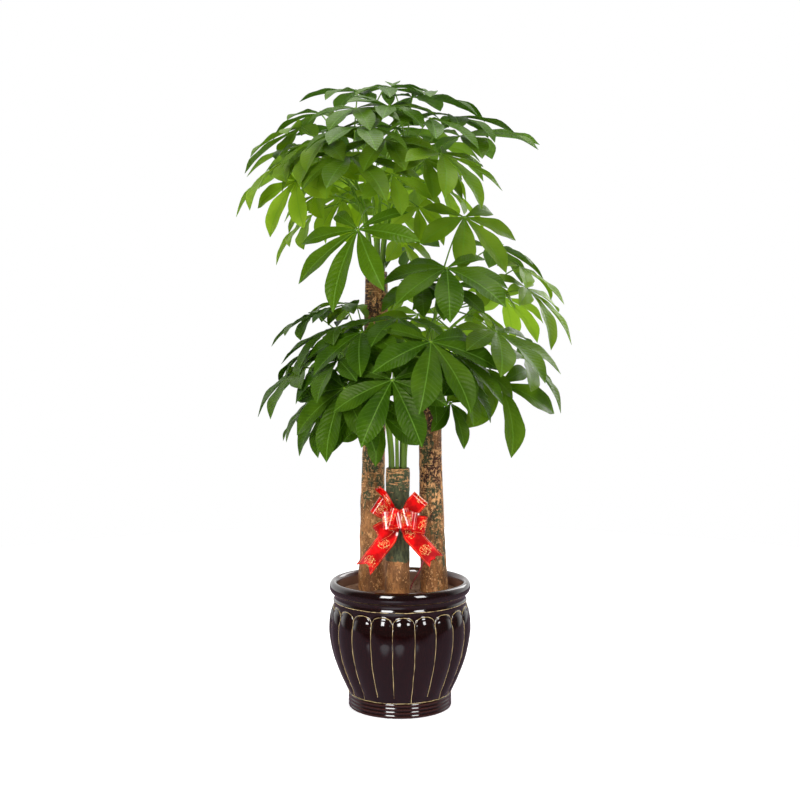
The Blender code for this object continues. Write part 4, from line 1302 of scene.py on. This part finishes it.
class Leaflet:
    """One leaflet: an arched blade from the side of the leaf's hub to its tip."""

    def __init__(self, root, turn, along, up, length, bend):
        self.root = root
        self.turn = turn
        self.side = up.cross(along).normalized()
        self.along = along
        self.up = along.cross(self.side)
        self.length = length
        self.bend = bend
        self.stations = SHORT_STATIONS if length < SHORT_LEAFLET else LONG_STATIONS

    def at(self, share):
        """The rib's point at a share of the length, and the blade's normal there."""
        angle = self.bend * share - LEAFLET_RISE
        forward = (math.sin(angle) + math.sin(LEAFLET_RISE)) / self.bend
        lift = (math.cos(angle) - math.cos(LEAFLET_RISE)) / self.bend
        point = self.root + self.length * (forward * self.along + lift * self.up)
        return point, self.up * math.cos(angle) + self.along * math.sin(angle)

    def room(self, grow=0.0):
        """The solid that it takes up, a little swollen, to find out what it would touch."""
        points = [self.root + self.side * x * HUB_HALF + self.up * z * HUB_HALF
                  for x, z in ((-1, -1), (-1, 1), (1, 1), (1, -1))]
        for share, wide in self.stations:
            rib, normal = self.at(share)
            half = self.length * LEAFLET_WIDTH / 2 * wide
            edge = rib + normal * half * LEAFLET_FOLD
            out = self.side * (half + grow)
            thick = normal * (LEAFLET_THICK / 2 + grow)
            points += [edge - out, rib + thick, edge + out, rib - thick]
        points.append(self.at(1.0 + grow / self.length)[0])
        faces = [(0, 1, 4), (1, 5, 4), (1, 2, 5), (2, 6, 5), (2, 3, 6), (3, 7, 6), (3, 0, 7), (0, 4, 7)]
        last = 4 * len(self.stations)
        for start in range(4, last, 4):
            for edge in (start, start + 2):
                for middle in (start + 1, start + 3):
                    faces.append((edge, middle, middle + 4))
                    faces.append((edge, middle + 4, edge + 4))
        tip = last + 4
        return points, faces + [(last + i, last + (i + 1) % 4, tip) for i in range(4)]


class Leaf:
    """A palmate leaf: a hub at the end of its stalk, and leaflets that fan out from it."""

    def __init__(self, stalk, facing, dip):
        self.stalk = stalk
        self.hub = stalk[-1]
        self.flat = math.cos(math.radians(dip))
        self.ahead = polar(facing, self.flat, -math.sin(math.radians(dip)))
        self.across = polar(facing + 90, 1.0)
        self.up = self.ahead.cross(self.across)
        self.leaflets = []
        # How much lighter the leaf is painted: partly youth, partly painted backlight
        self.young = 0.0
        self.slender = 1.0

    def direction(self, degrees):
        turn = polar(degrees, 1.0)
        return self.ahead * turn.x + self.across * turn.y


class Space:
    """What is placed already. An owner is a trunk, a shoot's number and a leaf's number."""

    def __init__(self):
        self.filled = []

    def box(self, points):
        return [(min(values), max(values)) for values in zip(*points)]

    def add(self, owner, shape):
        self.filled.append((owner, self.box(shape[0]), BVHTree.FromPolygons(*shape)))

    def touches(self, shape, spare):
        """Whether a shape touches what is placed, apart from what owners begin with spare."""
        box = self.box(shape[0])
        tree = BVHTree.FromPolygons(*shape)
        for owner, other_box, other in self.filled:
            near = all(a[0] <= b[1] and b[0] <= a[1] for a, b in zip(box, other_box))
            if near and owner[:len(spare)] != spare and tree.overlap(other):
                return True
        return False


def trunk_axis(trunk):
    x, y, _, _ = TRUNKS[trunk][-1]
    return Vector((x, y, 0.0))


def shoot_path(trunk, shoot, steps=SHOOT_STEPS):
    """The points along a shoot, from the cut top of its trunk to its tip."""
    _, _, top, radius = TRUNKS[trunk][-1]
    root_angle, tip_angle, reach, height = SHOOTS[trunk][shoot]
    root = trunk_axis(trunk) + polar(root_angle, radius * SHOOT_ROOT, top + SEAT_GAP)
    tip = trunk_axis(trunk) + polar(tip_angle, reach / 100, height / 100)
    middle = Vector((root.x, root.y, root.z + SHOOT_UPRIGHT * (tip.z - root.z)))
    return curve(root, middle, tip, steps)


def shoot_room(path):
    points, faces = tube(path, SHOOT_RADIUS, SHOOT_SIDES)
    for point in points[:SHOOT_SIDES]:
        point.z = path[0].z
    return points, faces


def stalk_room(stalk, grow=0.0):
    beyond = stalk[-1] + (stalk[-1] - stalk[-2]).normalized() * HUB_RADIUS
    return tube([*stalk, beyond], (STALK_RADIUS[0] + grow, HUB_RADIUS + grow), 4)


def stalk_path(trunk, number, row, path, space):
    """A leaf's stalk. A low leaf's leaves its shoot low down, the highest at its tip."""
    shoot, angle, reach, height = row[:4]
    heights = [other[3] for other in LEAVES[trunk] if other[0] == shoot]
    rank = (sum(other < height for other in heights) + 1) / len(heights)
    rank = min(rank, 1.0)
    step = (STALK_ROOTS[0] + (STALK_ROOTS[1] - STALK_ROOTS[0]) * rank) * SHOOT_STEPS
    whole = int(step)
    root = path[whole].lerp(path[whole + 1], step - whole)
    draw = Random(1000 * len(trunk) + number)
    for attempt in range(TRIES):
        loose = SHIFT_MORE * attempt
        shift = Vector([draw.uniform(-loose, loose) for _ in range(3)])
        hub = trunk_axis(trunk) + polar(angle, reach / 100, height / 100) + shift
        span = (hub - root).length
        arch = STALK_ARCH + draw.uniform(*ARCH_MORE) * attempt
        sway = draw.uniform(-SWAY_MORE, SWAY_MORE) * attempt
        side = (hub - root).cross(Vector((0, 0, 1))).normalized()
        middle = root.lerp(hub, 0.55) + Vector((0, 0, arch * span)) + side * sway * span
        stalk = curve(root, middle, hub, STALK_STEPS)
        if not space.touches(stalk_room(stalk, CLEARANCE), (trunk, shoot)):
            break
    return stalk


def place_leaflets(trunk, number, row, leaf, space):
    """The leaflets of a leaf, each swung, drooped or shortened until it is clear of the rest."""
    shoot, longest, count = row[0], row[6], row[7]
    owner = (trunk, shoot, number)
    draw = Random(7000 * len(trunk) + number)
    for i in range(count):
        turn = (i - (count - 1) / 2) * LEAFLET_STEP[count] + draw.uniform(-LEAFLET_SWAY, LEAFLET_SWAY)
        back = 1 - math.cos(math.radians(0.75 * turn))
        full = longest / 100 * (1 - SIDE_LEAFLET * back) * draw.uniform(*LEAFLET_SIZE)
        droop = draw.uniform(*LEAFLET_DROOP)
        bend = draw.uniform(*LEAFLET_BEND)
        root = leaf.hub + leaf.direction(turn) * HUB_RADIUS * 0.9
        for attempt in range(TRIES):
            loose = attempt / TRIES
            swing = turn + draw.uniform(-SWING_MOST, SWING_MOST) * loose
            fall = (droop + draw.uniform(-DROOP_MOST, DROOP_MOST) * loose) * leaf.flat
            along = (leaf.direction(swing) - Vector((0, 0, fall))).normalized()
            curl = bend + draw.uniform(*BEND_MOST) * loose
            length = full if attempt < SHORT_TRIES else full * SHORTER
            leaflet = Leaflet(root, turn, along, leaf.up, length, curl)
            if not space.touches(leaflet.room(CLEARANCE), owner):
                leaf.leaflets.append(leaflet)
                break
    for leaflet in leaf.leaflets:
        space.add(owner, leaflet.room())


def place_tree():
    """Every shoot, stalk and leaflet, each bent clear of what stands there already."""
    space = Space()
    tree = {}
    for trunk in TRUNKS:
        space.add((trunk, None, None), trunk_room(trunk))
        for shoot in range(len(SHOOTS[trunk])):
            path = shoot_path(trunk, shoot)
            tree[trunk, shoot] = (path, [])
            space.add((trunk, shoot, None), shoot_room(path))
    for rows_of, first in ((LEAVES, 0), (FILLING_LEAVES, 100)):
        placed = []
        for trunk, rows in rows_of.items():
            for number, row in enumerate(rows, first):
                path, leaves = tree[trunk, row[0]]
                leaf = Leaf(stalk_path(trunk, number, row, path, space), row[4], row[5])
                leaf.young = row[8] if first else YOUNG_AND_BACKLIT_LEAVES[trunk].get(number, 0.0)
                leaf.slender = SLENDER_LEAVES[trunk].get(number, 1.0)
                space.add((trunk, row[0], number), stalk_room(leaf.stalk))
                leaves.append(leaf)
                placed.append((trunk, number, row, leaf))
        for trunk, number, row, leaf in placed:
            place_leaflets(trunk, number, row, leaf, space)
    return tree


# Leaves


def add_blade(bm, leaflet, layers, slender, tone, young, seed):
    """A leaflet's blade: a grid bent to its arch, fold and outline. Its new faces."""
    uv, tone_layer, youth_and_backlight_layer = layers
    verts, faces = add_grid(bm, BLADE_ACROSS, BLADE_ALONG)
    length = leaflet.length
    half = slender * length * LEAFLET_WIDTH / 2
    phase = seed * 6.1
    flat = {}
    for vert in verts:
        share = (vert.co.y + 1) / 2
        side = vert.co.x
        wide = half * max(at_height(BLADE_OUTLINE, share), 0.0)
        rib, normal = leaflet.at(share)
        dish = BLADE_FOLD * wide * abs(side) * (1.25 - 0.35 * abs(side))
        ripple = math.sin(15 * share + phase + 1.3 * math.copysign(1, side))
        ripple *= BLADE_RIPPLE * wide * abs(side) ** 2 * math.sin(math.pi * share)
        droop = -BLADE_DROOP * length * ease((share - 0.72) / 0.28)
        vert.co = rib - leaflet.side * side * wide + normal * (dish + ripple + droop)
        flat[vert] = (0.5 + side * wide / length, share)
        vert[tone_layer] = tone
        vert[youth_and_backlight_layer] = young
    map_faces(faces, uv, flat.get)
    return faces


def painted_backlight(trunk, hub):
    """Painted backlight: how much lighter a leaf is painted for being far out, and for being low and not
    in front.
    """
    outer = OUTER_PAINTED_BACKLIGHT[trunk] * ease((abs(hub.x + 0.02) - 0.12) / 0.14)
    low = LOW_PAINTED_BACKLIGHT[trunk] * (1 - ease((hub.z - 1.25) / 0.11))
    return outer, low * ease((hub.y + 0.22) / 0.12)


def add_leaves(bm, layers, trunk, leaves, draw):
    """The blades of a shoot's leaves, thickened. Their undersides have the second finish."""
    blades = []
    for leaf in leaves:
        base = draw.uniform(0.0, 0.7)
        outer, low = painted_backlight(trunk, leaf.hub)
        for leaflet in leaf.leaflets:
            tone = LEAF_TONE[trunk] * (base + draw.uniform(0.0, 0.3))
            # How young and backlit a leaflet is painted: its leaf's listed value, plus painted backlight
            # for outer and low leaves
            young = leaf.young * draw.uniform(0.7, 1.0)
            young += (1 - leaf.young) * (0.40 * outer + draw.uniform(0, 0.12 + 0.3 * outer))
            young += (1 - young) * low
            blades += add_blade(bm, leaflet, layers, leaf.slender, tone, young, draw.random())
    bmesh.ops.remove_doubles(bm, verts=bm.verts, dist=0.00002)
    blades = [face for face in blades if face.is_valid]
    for item in bmesh.ops.solidify(bm, geom=blades, thickness=BLADE_THICK)["geom"]:
        if isinstance(item, bmesh.types.BMFace):
            item.material_index = 1


def add_stalk(bm, leaf):
    """A leaf's stalk, and the hub that its leaflets grow from."""
    stalk = smooth(leaf.stalk, 2)
    radii = taper(STALK_RADIUS, len(stalk) - 1)
    radii[0] *= STALK_FLARE[0]
    radii[-1] *= STALK_FLARE[1]
    sweep(bm, stalk, radii, STALK_SIDES)
    hub = bmesh.ops.create_icosphere(bm, subdivisions=2, radius=1.0)["verts"]
    scale = Matrix.Diagonal((HUB_RADIUS * 0.85, HUB_RADIUS * 0.85, HUB_HALF * 1.25))
    turn = Matrix((leaf.ahead, leaf.across, leaf.up)).transposed()
    place = Matrix.Translation(leaf.hub) @ (turn @ scale).to_4x4()
    bmesh.ops.transform(bm, matrix=place, verts=hub)


def make_foliage(stem, above, below):
    """One piece for each shoot: its stem, its stalks and its leaves."""
    draw = Random(5)
    for (trunk, shoot), (_, leaves) in place_tree().items():
        bm = bmesh.new()
        uv = bm.loops.layers.uv.new("blade")
        tone, young, wood = [bm.verts.layers.float.new(name) for name in ("tone", "young", "wood")]
        add_leaves(bm, (uv, tone, young), trunk, leaves, draw)
        skins = set(bm.faces)
        path = shoot_path(trunk, shoot, STEM_STEPS)
        for vert in sweep(bm, path, taper(SHOOT_RADIUS, STEM_STEPS), STEM_SIDES):
            vert[wood] = ease(1 - (vert.co.z - path[0].z) / 0.10)
        for leaf in leaves:
            add_stalk(bm, leaf)
        for face in bm.faces:
            if face not in skins:
                face.material_index = 2
        name = f"shoot_{trunk}_{shoot + 1}"
        finish_piece(f"foliage_{trunk}_{shoot + 1}", bm, [above, below, stem], [name])


# Bow


def bow_axes(degrees, lean):
    """The way a loop or tail runs, the ribbon's width there, and the way that it faces."""
    flat = polar(degrees, 1.0)
    low = math.radians(lean)
    out = Vector((flat.x * math.cos(low), -math.sin(low), flat.y * math.cos(low)))
    across = Vector((-flat.y, 0.0, flat.x))
    return out, across, out.cross(across)


def add_strip(bm, uv, path, widths, across, start, cut=0.0, curl=0.0):
    """A strip of ribbon along a path, with a notch cut in its end. Its length."""
    count = len(path) - 1
    verts, faces = add_grid(bm, RIBBON_ACROSS, count)
    heading = directions(path)
    run = [0.0]
    for a, b in zip(path, path[1:]):
        run.append(run[-1] + (b - a).length)
    flat = {}
    for vert in verts:
        side = vert.co.x
        i = round((vert.co.y + 1) / 2 * count)
        face_way = heading[i].cross(across).normalized()
        gather = 1.0 - widths[i] / RIBBON_WIDTH
        fold = GATHER_FOLD * gather * math.sin(side * 9.0)
        notch = cut * widths[i] * (1 - abs(side)) * (i / count) ** 12
        roll = curl * (side**2 - 0.4) * widths[i]
        spot = path[i] + across * (side * widths[i] / 2) + face_way * (fold + roll)
        vert.co = spot - heading[i] * notch
        flat[vert] = (0.5 + side / 2, start + (run[i] - notch) / RIBBON_WIDTH)
    map_faces(faces, uv, flat.get)
    return run[-1]


def add_loop(bm, uv, row, depth, tilt, start):
    """A loop of ribbon, gathered where it leaves the knot. Its length."""
    degrees, lean, length = row
    axes = bow_axes(degrees, lean)
    out, across, face = [Matrix.Rotation(tilt, 3, "X") @ axis for axis in axes]
    path = []
    widths = []
    for i in range(LOOP_STEPS + 1):
        turn = math.radians(LOOP_ROOT * (2 * i / LOOP_STEPS - 1))
        reach = length * (0.52 + 0.48 * math.cos(turn))
        bulge = depth * math.sin(turn) * min(1.0, reach / (0.4 * length))
        fold = FOLD_HIGH * math.exp(-((reach / length - FOLD_AT) / 0.045) ** 2)
        bulge += math.copysign(fold, turn) * min(1.0, abs(turn) / 0.3)
        path.append(BOW_MIDDLE + out * reach + face * bulge)
        wide = ease(reach / (0.7 * length))
        widths.append(LOOP_ROOT_WIDTH + (RIBBON_WIDTH - LOOP_ROOT_WIDTH) * wide)
    return add_strip(bm, uv, path, widths, across, start)


def add_tail(bm, uv, row, number):
    """A tail of ribbon with a notched end, or the narrow stub, which rolls up. Its length."""
    degrees, length, width = row
    stub = width < RIBBON_WIDTH
    out, across, _ = bow_axes(degrees, 0)
    long = length * STUB_LONG if stub else length
    start = BOW_MIDDLE - Vector((0, TAIL_START, 0))
    narrow = min(width, LOOP_ROOT_WIDTH)
    path = []
    widths = []
    for i in range(TAIL_STEPS + 1):
        share = i / TAIL_STEPS
        wave = 0.0022 * math.sin(9 * share + number)
        sag = Vector((0, TAIL_SAG * math.sin(math.pi * share) + wave, 0))
        roll = STUB_ROLL * ease((share - 0.72) / 0.28) if stub else 0.0
        path.append(start + out * (long * share - 0.4 * roll) - sag + across * roll)
        widths.append(narrow + (width - narrow) * ease(share / 0.35))
    cut, curl = (0.0, STUB_CURL) if stub else (TAIL_NOTCH, TAIL_CURL)
    return add_strip(bm, uv, path, widths, across, 3 + number * 0.7, cut, curl)


def make_ribbon(mat):
    """The bow's loops and tails, in one sheet that comes out of the knot."""
    bm = bmesh.new()
    uv = bm.loops.layers.uv.new("ribbon")
    loops = [(row, LOOP_DEPTH, OUTER_TILT) for row in LOOPS]
    loops += [(row, INNER_DEPTH, INNER_TILT) for row in INNER_LOOPS]
    total = 0.0
    for number, (row, depth, tilt) in enumerate(loops):
        total += add_loop(bm, uv, row, depth, tilt, number * 0.9)
    for number, row in enumerate(TAILS):
        total += add_tail(bm, uv, row, number)
    bmesh.ops.solidify(bm, geom=bm.faces[:], thickness=RIBBON_THICK)
    bow = finish_piece("ribbon_bow", bm, [mat], ["bow"], sharp=0.9)


def make_knot(mat):
    """The gathered knot, which reaches back to just before the tie."""
    bm = bmesh.new()
    uv = bm.loops.layers.uv.new("ribbon")
    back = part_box("bow_tie")[0][1] - 0.0002
    front = BOW_MIDDLE.y - KNOT_FRONT
    for vert in bmesh.ops.create_uvsphere(bm, u_segments=40, v_segments=20, radius=1.0)["verts"]:
        turn = math.atan2(vert.co.x, vert.co.z)
        fold = 1 + 0.07 * math.sin(9 * turn) * (1 - abs(vert.co.y))
        fold += 0.05 * noise.noise(vert.co * 3)
        vert.co.x = BOW_MIDDLE.x + vert.co.x * KNOT_HALF[0] * fold
        vert.co.y = (back + front) / 2 + vert.co.y * (back - front) / 2
        vert.co.z = BOW_MIDDLE.z + vert.co.z * KNOT_HALF[1] * fold

    def spot(vert):
        point = vert.co - BOW_MIDDLE
        return 0.5 + point.x / PRINT_WIDTH, point.z / RIBBON_WIDTH

    map_faces(bm.faces, uv, spot)
    face_out(bm)
    finish_piece("bow_knot", bm, [mat], ["bow"], sharp=3.0)


def make_tie(mat):
    """The flat band round the short trunk that the bow is tied on with."""
    half = TIE_HEIGHT / 2
    side = ((0.0007, half), (0.0010, 0.4 * half), (0.0010, -0.4 * half), (0.0007, -half))
    profile = ((0.0, -half), (0.0, half), *side)
    bm = turned([(TIE_TURN + proud, z) for proud, z in profile], TIE_SIDES, closed=True)
    uv = bm.loops.layers.uv.new("ribbon")
    middle = trunk_middle("short", BOW_MIDDLE.z)
    for vert in bm.verts:
        angle = math.atan2(vert.co.y, vert.co.x)
        proud = math.hypot(vert.co.x, vert.co.y) - TIE_TURN
        radius = bark_radius("short", angle, BOW_MIDDLE.z) + TIE_PROUD + proud
        vert.co = middle + Vector((radius * math.cos(angle), radius * math.sin(angle), vert.co.z))

    def spot(vert):
        point = vert.co - middle
        return 0.5 + point.z / PRINT_WIDTH, math.atan2(point.y, point.x) * 0.7

    map_faces(bm.faces, uv, spot)
    face_out(bm)
    finish_piece("bow_tie_band", bm, [mat], ["bow_tie"], sharp=0.9)


# Studio


def make_light(name, place, target, width, height, watts):
    """A rectangular lamp."""
    data = bpy.data.lights.new(name, "AREA")
    data.shape = "RECTANGLE"
    data.size = width
    data.size_y = height
    data.energy = watts
    aim(add_object(name, data), place, target)


def make_world():
    """White behind the tree and over it, darker before it, and plain white to look at."""
    world = bpy.data.worlds.new("studio")
    world.use_nodes = True
    sky = Nodes(world.node_tree)
    light = sky.tree.nodes["Background"]
    light.inputs["Color"].default_value = WHITE
    way = sky.add("TexCoord").outputs["Generated"]
    strength = sky.step(sky.axes(way)["Y"], -0.1, 0.6, BEFORE_TREE, BEHIND_TREE)
    sky.feed(light.inputs["Strength"], strength)
    seen = sky.add("Background", {"Color": WHITE, "Strength": 1.0})
    looked_at = sky.add("LightPath").outputs["Is Camera Ray"]
    both = sky.either(looked_at, light.outputs[0], seen.outputs[0])
    sky.feed(sky.tree.nodes["World Output"].inputs["Surface"], both)
    bpy.context.scene.world = world


def make_floor(mat):
    """A plain round floor, which is no part of the tree."""
    bm = bmesh.new()
    bmesh.ops.create_circle(bm, segments=FLOOR_SIDES, radius=FLOOR_RADIUS, cap_ends=True)
    mesh = bpy.data.meshes.new("floor")
    bm.to_mesh(mesh)
    bm.free()
    mesh.materials.append(mat)
    add_object("floor", mesh)


def make_studio():
    make_floor(floor_finish())
    make_world()
    for row in LIGHTS:
        make_light(*row)
    view = bpy.context.scene.view_settings
    view.view_transform = "Standard"
    view.look = "None"


make_camera()
make_string(string_finish())
make_studio()
make_pot(glaze_finish())
make_lines(line_finish())
soil = soil_finish()
make_soil(soil)
make_lumps(soil)
bark = bark_finish()
sawn = wood_finish()
for trunk in TRUNKS:
    make_trunk(trunk, bark, sawn)
make_foliage(stem_finish(), blade_finish("leaf_upper_side", False), blade_finish("leaf_underside", True))
ribbon = ribbon_finish()
make_ribbon(ribbon)
make_knot(ribbon)
make_tie(ribbon)
